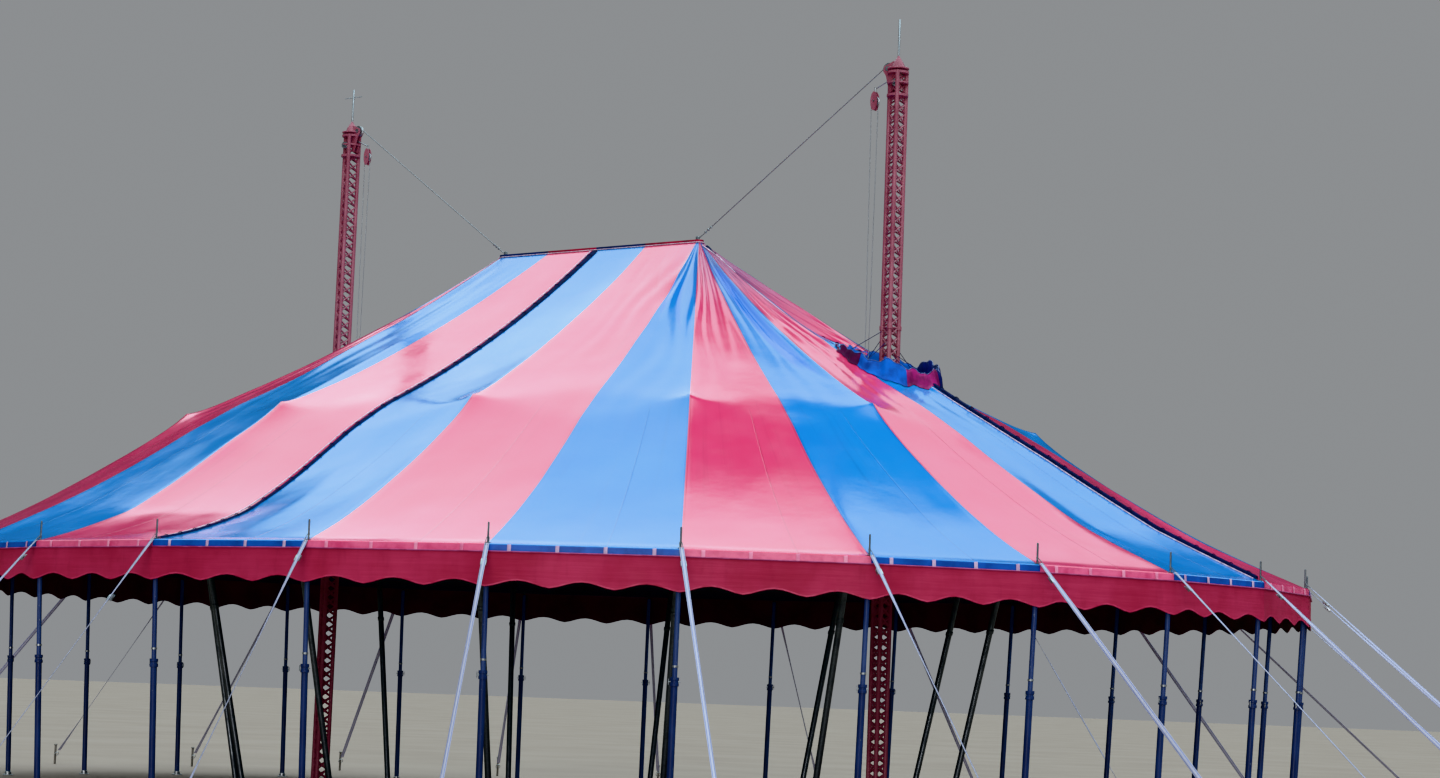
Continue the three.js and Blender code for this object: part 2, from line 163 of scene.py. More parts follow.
# The lacing of the quarters: a covering flap with its section, a pale edge beside it, and loops
LACING_STEPS = 60
LACING_WIDTH = 0.08
LACING_HEIGHT = 0.022
END_LACING_HEIGHT = 1.8 * LACING_HEIGHT
LACING_SECTION = ((-1, 0), (-0.8, 0.7), (0, 1), (0.8, 0.7), (1, 0))
LACING_EDGE_RADIUS = 0.0085
LOOP_SPACING = 0.24
LOOP_STEPS = 8
LOOP_SLANT = 0.03
LOOP_RADIUS = 0.0045

# Side poles. Profiles are pairs of a radius, or of an inset from it, and a height
POLE_LEAN = 0.15
LOWER_TUBE_RADIUS = 0.035
UPPER_TUBE_RADIUS = 0.026
TUBE_JOINT_HEIGHT = 1.7
CLAMP_RADIUS = 0.046
CLAMP_HEIGHT = 0.09
CLAMP_PROFILE = (
    (0.002, 0.0),
    (0.0, 0.002),
    (0.0, 0.03),
    (0.006, 0.034),
    (0.006, 0.056),
    (0.0, 0.06),
    (0.0, 0.088),
    (0.002, 0.09),
)
HANDLE_REACH = 0.06
HANDLE_HALF = 0.03
FOOT_RADIUS = 0.075
FOOT_THICKNESS = 0.01
FOOT_SOCKET = [(0.046, 0.0101), (0.045, 0.05), (0.036, 0.055)]
SPIKE_RADIUS = 0.01
SPIKE_TOP = EAVE_HEIGHT + 0.22
SHOULDER = 2.956
EYELET = ((0.03, 0.001), (0.032, 0.004), (0.028, 0.008), (0.014, 0.008), (0.0125, 0.003))

# Straps, their ratchets and rings, and the stakes
STRAP_STEPS = 28
STRAP_WIDTH = 0.05
STRAP_THICKNESS = 0.005
STRAP_RISE = 0.06
STRAP_SLOPE = 1.17
SIDE_STRAP_SLOPE = 0.85
SIDE_SEAMS = 2
STRAP_FOOT_HEIGHT = 0.13
STRAP_START = 0.085
STRAP_END = 0.967
STRAP_ROLLS = (0.5, 0.8, 0.45, -0.35, -0.75, 0.9, -0.25, 0.9)
LINK_TURNS = 14
LINK_RADIUS = 0.004
RATCHET_PLACE = 0.34
LOW_RATCHET_SEAM = 0
LOW_RATCHET_PLACE = 0.95
RING_TURNS = 16
RING_RADIUS = 0.006
STAKE_RADIUS = 0.017
STAKE_HEIGHT = 0.32

# Quarter poles, with the radii of the tip and how far below its point they are
QUARTER_POLE_RADIUS = 0.038
QUARTER_POLE_LEAN = 1.0
QUARTER_POLE_CLEARANCE = 0.0173
QUARTER_FOOT_RADIUS = 0.11
QUARTER_FOOT_SOCKET = [(0.052, 0.0101), (0.05, 0.06), (0.04, 0.064)]
QUARTER_POLE_TIP = ((0.034, 0.14), (0.018, 0.07), (0.008, 0.02), (0.003, 0.0))
QUARTER_TIP_HEIGHT = 0.16

# Masts
MAST_PLACE = 4.6
MAST_HEIGHT = 9.23
MAST_RADIUS = 0.115
MAST_BASE = (0.52, 0.52, 0.02)
BOLT_PLACE = 0.21
BOLT = [(0.018, 0.02), (0.018, 0.034), (0.009, 0.0341), (0.009, 0.045)]
CHORD_RADIUS = 0.027
CHORD_TOP = MAST_HEIGHT - 0.045
CHORD_JOINTS = (3.0, 6.0)
BRACE_START = 0.04
BRACE_RADIUS = 0.0115
BRACE_PANEL = 0.125
TIE_RADIUS = 0.012
ROD_RADIUS = 0.012
ROD_HEIGHT = 0.62
CROSSBAR_LENGTH = 0.32
CROSSBAR_RADIUS = 0.006

# Mast heads, measured from the top of the mast. A hoop has its drop and its depth, the cap and the crown are
# profiles, and the cheek is an outline of reaches towards the ridge and heights
MAST_HEAD_SIDE = 0.27
SHEAVE_REACH = MAST_HEAD_SIDE / 2
SHEAVE_RADIUS = 0.075
HOOPS = ((0.36, 0.03), (0.2, 0.02), (0.075, 0.03))
HOOP_RADII = (0.112, 0.132)
CAP = ((0.02, -0.022), (0.128, -0.022), (0.134, -0.018), (0.134, -0.004), (0.13, 0.0), (0.02, 0.001))
CROWN = ((0.085, -0.001), (0.07, 0.05), (0.034, 0.11), (0.02, 0.125), (ROD_RADIUS, 0.15))
CHEEK = (
    (-0.03, 0.09),
    (0.05, 0.085),
    (SHEAVE_REACH + 0.05, 0.03),
    (SHEAVE_REACH + 0.06, -0.03),
    (SHEAVE_REACH + 0.02, -0.09),
    (0.1, -0.3),
    (0.075, -0.3),
    (0.02, -0.06),
)
HOIST_REACH = 0.33
HOIST_DROP = 0.26
HOIST_HALF_HEIGHT = 0.12
HOIST_HALF_WIDTH = 0.05
FALL_LINE_SPREAD = 0.05
FALL_LINE_RADIUS = 0.004

# Collars. Waves round them have a depth, a number and a shift. The section over the lip has a reach, a
# height, and its shares of the lip's waves and of the gathers. The lip is highest at one angle, and the
# skirt on the canopy is widest at another, in degrees from the outer end by way of the back
COLLAR_STEPS = 168
COLLAR_RADIUS = 0.6
COLLAR_SLOPE = 0.3
COLLAR_MIDDLE = 5.57
COLLAR_GATHERS = ((0.7, 17, 0.0), (0.6, 29, 1.3), (0.4, 41, 0.0))
COLLAR_GATHER_DEPTH = 0.014
COLLAR_LIP = ((0.026, 6, 0.6), (0.02, 11, 0.0), (0.014, 23, 0.0))
COLLAR_CREST_HEIGHT = 0.1
COLLAR_CREST_ANGLE = 50
COLLAR_SKIRT = ((0.02, 5, 1.0), (0.012, 14, 0.0))
COLLAR_SKIRT_LEAST = 0.015
COLLAR_SKIRT_MORE = 0.07
COLLAR_SKIRT_ANGLE = -55
COLLAR_SKIRT_SHARES = (0.3, 0.55, 0.8, 1.0)
COLLAR_SECTION = (
    (-0.026, -0.17, 0.0, 0.3),
    (-0.022, -0.06, 0.0, 0.5),
    (-0.018, 0.02, 0.0, 0.7),
    (-0.012, 0.048, 1.0, 0.8),
    (0.004, 0.06, 1.0, 0.8),
    (0.018, 0.045, 0.9, 0.9),
    (0.03, 0.02, 0.5, 1.0),
)
HANGERS = 6
HANGER_RISE = 0.32
PLEATS = 16
PLEAT_DEPTH = 0.018
PLEAT_REACH = 0.2
HOLE_SLOPE = 0.42
# Where the gathered canvas of the right collar changes colour, in degrees from +X by way of the back. The
# navy stretch between the outer end and the back, and the maroon stretch between the inner side and the
# front, are darker copies of the blue and red: painted shade
COLLAR_COLOURS = (
    (14, "flap_red"),
    (95, "flap_navy"),
    (196, "flap_blue"),
    (268, "flap_maroon"),
    (322, "flap_blue"),
    (360, "flap_red"),
)

# The ridge beam, with its section as scales across and heights, and its cables
RIDGE_STAND = 0.04
RIDGE_DEPTH = 0.16
RIDGE_TOP = RIDGE_HEIGHT + RIDGE_STAND
RIDGE_SECTION = (
    (0.988, RIDGE_TOP - RIDGE_DEPTH),
    (1.0, RIDGE_TOP - RIDGE_DEPTH + 0.006),
    (1.0, RIDGE_TOP - 0.006),
    (0.97, RIDGE_TOP),
)
RIDGE_LUG = (0.045, 0.03, 0.07)
RIDGE_ROPE_RADIUS = 0.007
CABLE_RADIUS = 0.008
CABLE_GAP = 0.0004
STRAND_RADIUS = 0.006
CABLE_CLIPS = (0.12, 0.17, 0.22)

# How sharp an edge is before it isn't smoothed, in radians
HARD_EDGE = 0.7
CLOTH_EDGE = 3.0
THICKENED_EDGE = 1.0

# The camera, as the photograph's own
PHOTO_WIDTH = 1440
FOCAL_PIXELS = 2868.7
SENSOR_WIDTH = 36.0
CAMERA_PLACE = (23.604, -28.847, 1.604)
CAMERA_YAW = 36.75
CAMERA_PITCH = 5.96
CAMERA_ROLL = 2.15
CAMERA_REACH = 800

# The studio: a dome that is bright above a dim rim. The rim is lowest at one azimuth, where it has a gap.
# A flag dims a part of the ceiling: azimuth, elevation, the radii of its core and its edge in degrees, and
# the share of the light that it leaves
RIM_HEIGHT = 25.0
RIM_SOFTNESS = 9.0
RIM_GAP = (116.0, 127.0, 141.5, 145.5)
RIM_GAP_DEPTH = 3.5
RIM_BRIGHTNESS = 0.05
CEILING_BRIGHTNESS = 2.35
CEILING_TINT = (0.86, 1.09, 1.18, 1.0)
FLAGS = ((106.0, 61.0, 8.0, 15.5, 0.03), (104.0, 30.0, 6.0, 22.0, 0.6), (235.0, 22.0, 30.0, 65.0, 0.3))
BACKDROP = (0.30, 0.31, 0.32, 1.0)
FLOOR_RADII = (30, 90, 260)
FLOOR_SIDES = 96

# The lamp: where it stands and what it looks at, how wide it is in degrees, and how bright
LAMP_PLACE = Vector((20.0, -34.0, 7.0))
LAMP_TARGET = Vector((0.0, 0.0, 3.0))
LAMP_WIDTH = 37.0
LAMP_BRIGHTNESS = 1.6

# Noises of the finishes: scale, detail and roughness
WEAVE = (240.0, 1.0, 0.4)
CLOTH_WEAVE = (160.0, 2.0, 0.5)
CANVAS_SHEEN_CLOUDS = (0.55, 4.0, 0.55)
CANVAS_STREAKS = (1.6, 4.0, 0.6)
CANVAS_RIPPLES = (3.2, 3.0, 0.5)
RIDGE_SHADE_PATCHES = (2.4, 5.0, 0.65)
GLOSS_PATCHES = (2.3, 5.0, 0.6)
PAINT_CHIPS = (34.0, 5.0, 0.7)

# Seams on the canvas: how far from a seam its weld ends, and a weld line inside each panel
WELD_EDGE = (0.016, 0.026)
GORE_PLACE = 0.62
GORE_EDGE = (0.003, 0.007)
GORE_SHARES = (0.55, 0.6)


def hue(colour):
    """A screen colour of 0 to 255 as linear light."""
    shares = [value / 255 for value in colour]
    linear = [share / 12.92 if share <= 0.04045 else ((share + 0.055) / 1.055) ** 2.4 for share in shares]
    return (*linear, 1.0)


def upward(height):
    return Vector((0, 0, height))


def within(value):
    """A value kept between 0 and 1."""
    return min(max(value, 0.0), 1.0)


def mixed(first, second, share):
    return first + (second - first) * share


def ring_angles(count, shift=0.0):
    """Evenly spaced angles round a circle."""
    return [2 * math.pi * (step + shift) / count for step in range(count)]


def around(angle, radius, height=0.0):
    return Vector((radius * math.cos(angle), radius * math.sin(angle), height))


def waves(angle, terms):
    """The sum of some waves round a circle, each given as its depth, number and shift."""
    return sum(depth * math.sin(number * angle + shift) for depth, number, shift in terms)


def numbered(word, number):
    return word + str(number).zfill(2)


# Finishes


class Nodes:
    """A node tree, and short ways to make the nodes in it."""

    def __init__(self, tree):
        self.tree = tree

    def set(self, node, socket, value):
        if isinstance(value, bpy.types.NodeSocket):
            self.tree.links.new(value, node.inputs[socket])
        else:
            node.inputs[socket].default_value = value

    def node(self, kind, settings=None, **sockets):
        made = self.tree.nodes.new("ShaderNode" + kind)
        for name, value in (settings or {}).items():
            setattr(made, name, value)
        for name, value in sockets.items():
            self.set(made, name.replace("_", " "), value)
        return made

    def maths(self, operation, first, second=0.0):
        made = self.node("Math", {"operation": operation})
        self.set(made, 0, first)
        self.set(made, 1, second)
        return made.outputs[0]

    def plus(self, first, second):
        return self.maths("ADD", first, second)

    def times(self, first, second):
        return self.maths("MULTIPLY", first, second)

    def span(self, value, low, high, start=0.0, end=1.0):
        """Goes smoothly from start to end while a value goes from low to high."""
        limits = {"From_Min": low, "From_Max": high, "To_Min": start, "To_Max": end}
        made = self.node("MapRange", {"interpolation_type": "SMOOTHSTEP"}, Value=value, **limits)
        return made.outputs["Result"]

    def split(self, vector):
        return self.node("SeparateXYZ", Vector=vector).outputs


class Finish(Nodes):
    """One material: a base colour that is tinted in steps, a roughness and a relief."""

    def __init__(self, name, base, roughness=0.5, metallic=0.0, gloss=0.5):
        self.material = bpy.data.materials.new(name)
        self.material.use_nodes = True
        super().__init__(self.material.node_tree)
        self.shader = self.tree.nodes["Principled BSDF"]
        self.tone = hue(base)
        self.rough(roughness)
        self.set(self.shader, "Metallic", metallic)
        self.set(self.shader, "Specular IOR Level", gloss)

    def place(self):
        return self.node("TexCoord").outputs["Object"]

    def cut(self):
        return self.node("UVMap", {"uv_map": "cut"}).outputs["UV"]

    def attribute(self, name):
        return self.node("Attribute", {"attribute_name": name}).outputs["Fac"]

    def stretched(self, vector, x=1.0, y=1.0, z=1.0):
        return self.node("Mapping", Vector=vector, Scale=(x, y, z)).outputs["Vector"]

    def mottle(self, vector, scale, detail, roughness):
        made = self.node("TexNoise", Vector=vector, Scale=scale, Detail=detail, Roughness=roughness)
        return made.outputs["Fac"]

    def patches(self, vector, kind, *limits):
        """A noise of one kind, spread between the limits."""
        return self.span(self.mottle(vector, *kind), *limits)

    def tint(self, share, colour):
        """Turns the base colour to another one by a share."""
        made = self.node("Mix", {"data_type": "RGBA"})
        for socket, value in ((0, share), (6, self.tone), (7, hue(colour))):
            self.set(made, socket, value)
        self.tone = made.outputs[2]
        self.set(self.shader, "Base Color", self.tone)

    def rough(self, value):
        self.set(self.shader, "Roughness", value)

    def relief(self, height, distance, strength=1.0):
        made = self.node("Bump", Height=height, Distance=distance, Strength=strength)
        self.set(self.shader, "Normal", made.outputs["Normal"])


def coated_canvas(name, base, pale, shade, fold):
    """Glossy coated canvas: paler in random clouds, which is a painted sheen with a tone that varies at
    random, with painted shade under the ridge ends and in the wrinkles, welded seams and a fine weave.
    """
    finish = Finish(name, base, gloss=0.6)
    place, cut = finish.place(), finish.cut()
    # A painted sheen: the whole canvas turns towards its pale colour in random clouds
    finish.tint(finish.patches(place, CANVAS_SHEEN_CLOUDS, 0.3, 0.7, 0.27, 0.43), pale)
    finish.tint(finish.patches(finish.stretched(cut, 9.0, 1.2), CANVAS_STREAKS, 0.5, 0.85, 0.0, 0.22), shade)
    # Painted shade under the ends of the ridge, in patches, turning the canvas to a dark purple
    patchy = finish.patches(finish.stretched(cut, 7.0), RIDGE_SHADE_PATCHES, 0.3, 0.7, 0.5, 1.15)
    finish.tint(finish.times(finish.attribute("ridge_shade"), patchy), (92, 66, 112))
    # Painted shade in the wrinkles below the ridge: the canvas turns to its deeper fold colour
    finish.tint(finish.span(finish.attribute("furrow"), 0.25, 0.9, 0.0, 0.6), fold)
    weld = finish.span(finish.attribute("seam_distance"), *WELD_EDGE, 1.0, 0.0)
    finish.tint(finish.times(weld, 0.3), shade)
    spot = finish.split(cut)
    beside = finish.maths("ABSOLUTE", finish.maths("SUBTRACT", finish.maths("FRACT", spot["X"]), GORE_PLACE))
    gore = finish.times(finish.span(beside, *GORE_EDGE, 1.0, 0.0), finish.span(spot["Y"], *GORE_SHARES))
    finish.tint(finish.times(gore, 0.35), shade)
    finish.rough(finish.patches(place, GLOSS_PATCHES, 0.25, 0.75, 0.1, 0.2))
    ripple = finish.mottle(finish.stretched(place, z=2.0), *CANVAS_RIPPLES)
    height = finish.plus(finish.times(ripple, 3.0), finish.times(finish.mottle(place, *WEAVE), 0.12))
    finish.relief(finish.plus(height, finish.plus(weld, gore)), 0.0012, 0.6)
    return finish.material


def valance_canvas():
    """Red coated canvas that hangs free, streaked by rain, with soft level ripples."""
    finish = Finish("valance_red", (160, 48, 70), gloss=0.25)
    place, cut = finish.place(), finish.cut()
    finish.tint(finish.patches(place, (1.1, 4.0, 0.6), 0.3, 0.7), (184, 66, 94))
    runs = finish.patches(finish.stretched(cut, 14.0, 1.5), (1.0, 4.0, 0.6), 0.5, 0.8, 0.0, 0.35)
    finish.tint(runs, (126, 32, 50))
    finish.rough(finish.patches(place, (3.0, 4.0, 0.6), 0.25, 0.75, 0.55, 0.72))
    level = finish.mottle(finish.stretched(cut, 1.6, 16.0), 1.0, 3.0, 0.5)
    weave = finish.times(finish.mottle(place, *WEAVE), 0.1)
    finish.relief(finish.plus(finish.times(level, 2.0), weave), 0.004)
    return finish.material


def plain_cloth(name, base, shade, roughness=0.55, scale=8.0, gloss=0.5):
    """Hems, flaps, ropes and tabs: cloth with a mottled tone and a woven surface."""
    finish = Finish(name, base, roughness, gloss=gloss)
    place = finish.place()
    finish.tint(finish.patches(place, (scale, 4.0, 0.6), 0.3, 0.75), shade)
    finish.relief(finish.mottle(place, *CLOTH_WEAVE), 0.0012, 0.7)
    return finish.material


def webbing(name, base, stripe, edge):
    """Polyester webbing with ribs across, a woven stripe near each edge, and some dirt."""
    finish = Finish(name, base, roughness=0.6)
    cut = finish.cut()
    across = finish.maths("ABSOLUTE", finish.split(cut)["X"])
    band = finish.times(finish.span(across, 0.011, 0.013), finish.span(across, 0.018, 0.02, 1.0, 0.0))
    finish.tint(finish.times(band, 0.75), stripe)
    finish.tint(finish.span(across, 0.022, 0.025, 0.0, 0.5), edge)
    finish.tint(finish.patches(finish.stretched(cut, 20.0), (1.3, 5.0, 0.65), 0.45, 0.8, 0.0, 0.45), edge)
    ribs = finish.node("TexWave", {"bands_direction": "Y"}, Vector=cut, Scale=90.0)
    finish.relief(ribs.outputs["Fac"], 0.0004, 0.4)
    return finish.material


def painted(name, base, worn, bare, roughness=0.42):
    """Painted steel tube: tone changes along it, scuffs, and chips down to metal."""
    finish = Finish(name, base)
    place = finish.place()
    tone = finish.mottle(finish.stretched(place, z=0.4), 6.0, 4.0, 0.6)
    finish.tint(finish.span(tone, 0.35, 0.7), worn)
    chipped = finish.patches(finish.stretched(place, z=0.5), PAINT_CHIPS, 0.66, 0.7)
    finish.tint(chipped, bare)
    finish.rough(finish.span(tone, 0.3, 0.7, roughness - 0.06, roughness + 0.12))
    finish.relief(finish.maths("SUBTRACT", finish.mottle(place, 60.0, 3.0, 0.5), chipped), 0.0006, 0.5)
    return finish.material


def galvanised(name, base, dark):
    """Hot dipped steel, with spangle and dull patches."""
    finish = Finish(name, base, metallic=0.85)
    place = finish.place()
    cells = finish.node("TexVoronoi", Vector=place, Scale=70.0)
    finish.tint(finish.times(finish.split(cells.outputs["Color"])["X"], 0.4), dark)
    dull = finish.mottle(place, 7.0, 4.0, 0.6)
    finish.tint(finish.span(dull, 0.5, 0.8, 0.0, 0.6), dark)
    finish.rough(finish.span(dull, 0.3, 0.7, 0.3, 0.5))
    finish.relief(finish.mottle(place, 90.0, 2.0, 0.5), 0.0004, 0.5)
    return finish.material


def wire_rope(name, base, pale):
    """Stranded steel cable: the lay of the strands runs round it at a slant."""
    finish = Finish(name, base, 0.38, 0.8)
    strands = finish.node("TexWave", {"bands_direction": "DIAGONAL"}, Vector=finish.cut(), Scale=42.0)
    finish.tint(strands.outputs["Fac"], pale)
    finish.relief(strands.outputs["Fac"], 0.002, 0.8)
    return finish.material


def border_canvas(name, base, shade):
    """The coloured border along the top of the valance."""
    finish = Finish(name, base, roughness=0.38)
    place = finish.place()
    finish.tint(finish.patches(place, (5.0, 4.0, 0.6), 0.35, 0.75), shade)
    finish.relief(finish.mottle(place, 30.0, 3.0, 0.5), 0.0015, 0.5)
    return finish.material


FINISHES = {
    # Canvas: its own colour, a pale one for the painted sheen, a darker tone for streaks and seams, and a
    # deeper one for the painted shade in the wrinkles
    "blue": coated_canvas("canvas_blue", (6, 106, 188), (50, 148, 210), (4, 58, 124), (0, 100, 204)),
    "red": coated_canvas("canvas_red", (210, 44, 82), (222, 96, 138), (152, 16, 50), (204, 24, 76)),
    "blue_border": border_canvas("border_blue", (36, 88, 180), (22, 60, 140)),
    "red_border": border_canvas("border_red", (236, 112, 150), (210, 76, 116)),
    "valance": valance_canvas(),
    # The inner faces of the canopy and the valance: dark, as painted shade for the inside of the tent
    "shaded_inside": plain_cloth("canvas_shaded_inside", (26, 30, 44), (16, 18, 28), 0.6, 1.5),
    "valance_shaded_inside": plain_cloth("valance_shaded_inside", (60, 16, 28), (36, 12, 22), 0.6, 2.5),
    "hem": plain_cloth("valance_hem", (196, 74, 104), (168, 40, 70)),
    "eave_rope": plain_cloth("eave_rope", (176, 84, 128), (150, 48, 84)),
    "tab": plain_cloth("tab_white", (200, 172, 200), (176, 130, 168)),
    "tab_pink": plain_cloth("tab_pink", (236, 150, 178), (214, 112, 148)),
    "navy": plain_cloth("lacing_navy", (22, 28, 74), (10, 12, 40), 0.8, 14.0, 0.2),
    "rope": plain_cloth("rope_pale", (224, 200, 214), (164, 130, 154), 0.7, 30.0),
    "flap_blue": plain_cloth("flap_blue", (6, 96, 196), (4, 44, 124), 0.5, 5.0, 0.25),
    # On the collar, the navy and maroon flaps are darker copies of the blue and red ones: painted shade
    "flap_navy": plain_cloth("flap_navy", (22, 26, 100), (8, 10, 44), 0.6, 5.0, 0.2),
    "flap_red": plain_cloth("flap_red", (166, 24, 108), (84, 8, 56), 0.5, 5.0, 0.25),
    # A painted highlight: the pale tube along the top of the collar's lip
    "flap_pale": plain_cloth("flap_pale", (120, 140, 190), (60, 70, 120), 0.6, 5.0),
    "flap_maroon": plain_cloth("flap_maroon", (86, 16, 62), (48, 8, 40), 0.6, 5.0, 0.2),
    "strap": webbing("strap_webbing", (174, 170, 186), (60, 84, 156), (96, 98, 120)),
    "pole": painted("pole_blue", (22, 34, 76), (34, 50, 98), (112, 120, 132)),
    "pole_upper": painted("pole_upper_blue", (44, 56, 100), (62, 76, 120), (128, 134, 146)),
    "steel": galvanised("galvanised_steel", (176, 180, 184), (112, 118, 124)),
    "dull_steel": galvanised("dull_galvanised", (112, 116, 120), (66, 70, 74)),
    "stake": galvanised("stake_steel", (120, 116, 110), (70, 62, 54)),
    "mast": painted("mast_red", (164, 98, 112), (142, 76, 90), (128, 108, 108), 0.5),
    "ridge_blue": painted("ridge_blue", (20, 34, 92), (14, 22, 60), (70, 80, 110)),
    "ridge_red": painted("ridge_red", (168, 26, 56), (110, 14, 36), (110, 60, 70)),
    "cable": wire_rope("ridge_wire_rope", (96, 98, 102), (176, 178, 182)),
}


# Shapes


class Shape:
    """The points, faces, finishes and cuts of one piece, gathered before its mesh is made."""

    def __init__(self):
        self.points = []
        self.faces = []
        self.finishes = []
        self.cuts = []

    def add(self, points, faces, finish, cuts=None):
        start = len(self.points)
        self.points.extend(points)
        self.faces.extend([start + corner for corner in face] for face in faces)
        self.finishes.extend([finish] * len(faces))
        self.cuts.extend(cuts or [[(0.0, 0.0)] * len(face) for face in faces])

    def net(self, rings, finish, closed=True, caps=True, spine=None, edges=None):
        """A skin over rings of points. Its cut is measured along the spine, and across by pairs of edges."""
        count = len(rings[0])
        spine = spine or [ring[0] for ring in rings]
        reach = [0.0]
        for before, after in zip(spine, spine[1:]):
            reach.append(reach[-1] + (after - before).length)
        width = (rings[0][0] - rings[0][1]).length
        edges = edges or [(column * width, (column + 1) * width) for column in range(count)]
        faces = []
        cuts = []
        for row in range(len(rings) - 1):
            low, high = row * count, (row + 1) * count
            for column in range(count if closed else count - 1):
                after = (column + 1) % count
                faces.append([low + column, low + after, high + after, high + column])
                left, right = edges[column]
                places = ((left, row), (right, row), (right, row + 1), (left, row + 1))
                cuts.append([(across, reach[up]) for across, up in places])
        if caps:
            last = (len(rings) - 1) * count
            faces += [list(range(count))[::-1], list(range(last, last + count))]
            cuts += [[(0.0, 0.0)] * count] * 2
        self.add([point for ring in rings for point in ring], faces, finish, cuts)

    def cloth(self, columns, heights, steps, hand, finish_at):
        """A sheet over columns of points, some steps to a bay, with the heights of its points in the cut."""
        tall = len(columns[0])
        self.points = [point for column in columns for point in column]
        for column in range(len(columns) - 1):
            places = [column / steps] * 2 + [(column + 1) / steps] * 2
            for row in range(tall - 1):
                first = column * tall + row
                corners = [first, first + 1, first + tall + 1, first + tall]
                finish = finish_at(column // steps, row, corners)
                if finish:
                    cut = [(place, heights[corner]) for place, corner in zip(places, corners)]
                    self.faces.append(corners[::hand])
                    self.cuts.append(cut[::hand])
                    self.finishes.append(finish)

    def turned(self, profile, sides, finish, moved):
        """A round bar on the Z axis, from pairs of radius and height, moved by a function."""
        angles = ring_angles(sides)
        rings = [[moved(around(angle, radius, height)) for angle in angles] for radius, height in profile]
        self.net(rings, finish)

    def tube(self, path, radius, sides, finish, closed=False):
        """A round tube along a path."""
        path = [Vector(point) for point in path]
        count = len(path)
        rings = []
        aside = None
        for number, point in enumerate(path):
            before = path[number - 1] if number or closed else point
            after = path[(number + 1) % count] if number < count - 1 or closed else point
            along = (after - before).normalized()
            if aside is None:
                guide = upward(1) if abs(along.z) < 0.9 else Vector((1, 0, 0))
                aside = along.cross(guide).normalized()
            aside = (aside - along * aside.dot(along)).normalized()
            other = along.cross(aside)
            angles = ring_angles(sides)
            rings.append([point + (aside * math.cos(a) + other * math.sin(a)) * radius for a in angles])
        if closed:
            rings.append(rings[0])
        self.net(rings, finish, caps=not closed)

    def ribbon(self, path, across, width, thickness, finish):
        """A flat strap along a path, its width along the given directions."""
        corners = [(-0.5, -0.15), (-0.45, -0.5), (0.45, -0.5), (0.5, -0.15)]
        corners += [(0.5, 0.15), (0.45, 0.5), (-0.45, 0.5), (-0.5, 0.15)]
        rings = []
        for number, point in enumerate(path):
            along = (path[min(number + 1, len(path) - 1)] - path[max(number - 1, 0)]).normalized()
            side = (across[number] - along * across[number].dot(along)).normalized()
            normal = along.cross(side)
            rings.append([point + side * (x * width) + normal * (y * thickness) for x, y in corners])
        lefts = [x * width for x, _ in corners]
        self.net(rings, finish, spine=path, edges=list(zip(lefts, lefts[1:] + lefts[:1])))

    def block(self, centre, size, finish, turn=None, bevel=0.004):
        """A block with bevelled edges."""
        made = bmesh.new()
        bmesh.ops.create_cube(made, size=1.0)
        bmesh.ops.scale(made, vec=size, verts=made.verts)
        bmesh.ops.bevel(made, geom=made.edges[:], offset=bevel, segments=2, affect="EDGES", profile=0.5)
        matrix = turn or Matrix.Identity(3)
        points = [matrix @ v.co + Vector(centre) for v in made.verts]
        made.verts.index_update()
        faces = [[v.index for v in face.verts] for face in made.faces]
        made.free()
        self.add(points, faces, finish)

    def plate(self, outline, y, thickness, finish):
        """A flat plate in the XZ plane at the given y."""
        count = len(outline)
        points = [Vector((px, y + side * thickness / 2, pz)) for side in (-1, 1) for px, pz in outline]
        faces = [list(range(count)), list(range(count, 2 * count))[::-1]]
        for number in range(count):
            after = (number + 1) % count
            faces.append([after, number, count + number, count + after])
        self.add(points, faces, finish)


def bar(radius, *heights):
    """The profile of a straight bar."""
    return [(radius, height) for height in heights]


def disc(radius, low, high, inset=0.002, rise=0.002):
    """The profile of a round plate or ring with broken edges."""
    return [(radius - inset, low), (radius, low + rise), (radius, high - rise), (radius - inset, high)]


def standing(spot):
    """Moves the points of an upright piece to a spot."""
    return lambda point: point + spot


def lying(hub, way=1):
    """Lays the points of an upright piece along Y, round a hub."""
    return lambda point: Vector((point.x + hub.x, point.z * way + hub.y, point.y + hub.z))


def leaning(head, to_foot, top):
    """Moves the points of an upright pole so that it leans from its head to its foot."""
    return lambda point: point + Vector((head.x, head.y, 0)) + to_foot * (1 - min(point.z, top) / top)


def flipped(point, x, y):
    """A point of the first quarter, on the quarter with these signs."""
    return point * Vector((x, y, 1))


def reworked(mesh, work):
    """Changes a mesh by a function of its editable copy."""
    body = bmesh.new()
    body.from_mesh(mesh)
    work(body)
    body.to_mesh(mesh)
    body.free()


def smooth_edges(mesh, angle):
    """Smooth faces, with the edges sharper than the angle kept crisp."""

    def sharpen(body):
        for edge in body.edges:
            if len(edge.link_faces) == 2 and edge.calc_face_angle(0.0) > angle:
                edge.smooth = False

    for face in mesh.polygons:
        face.use_smooth = True
    reworked(mesh, sharpen)


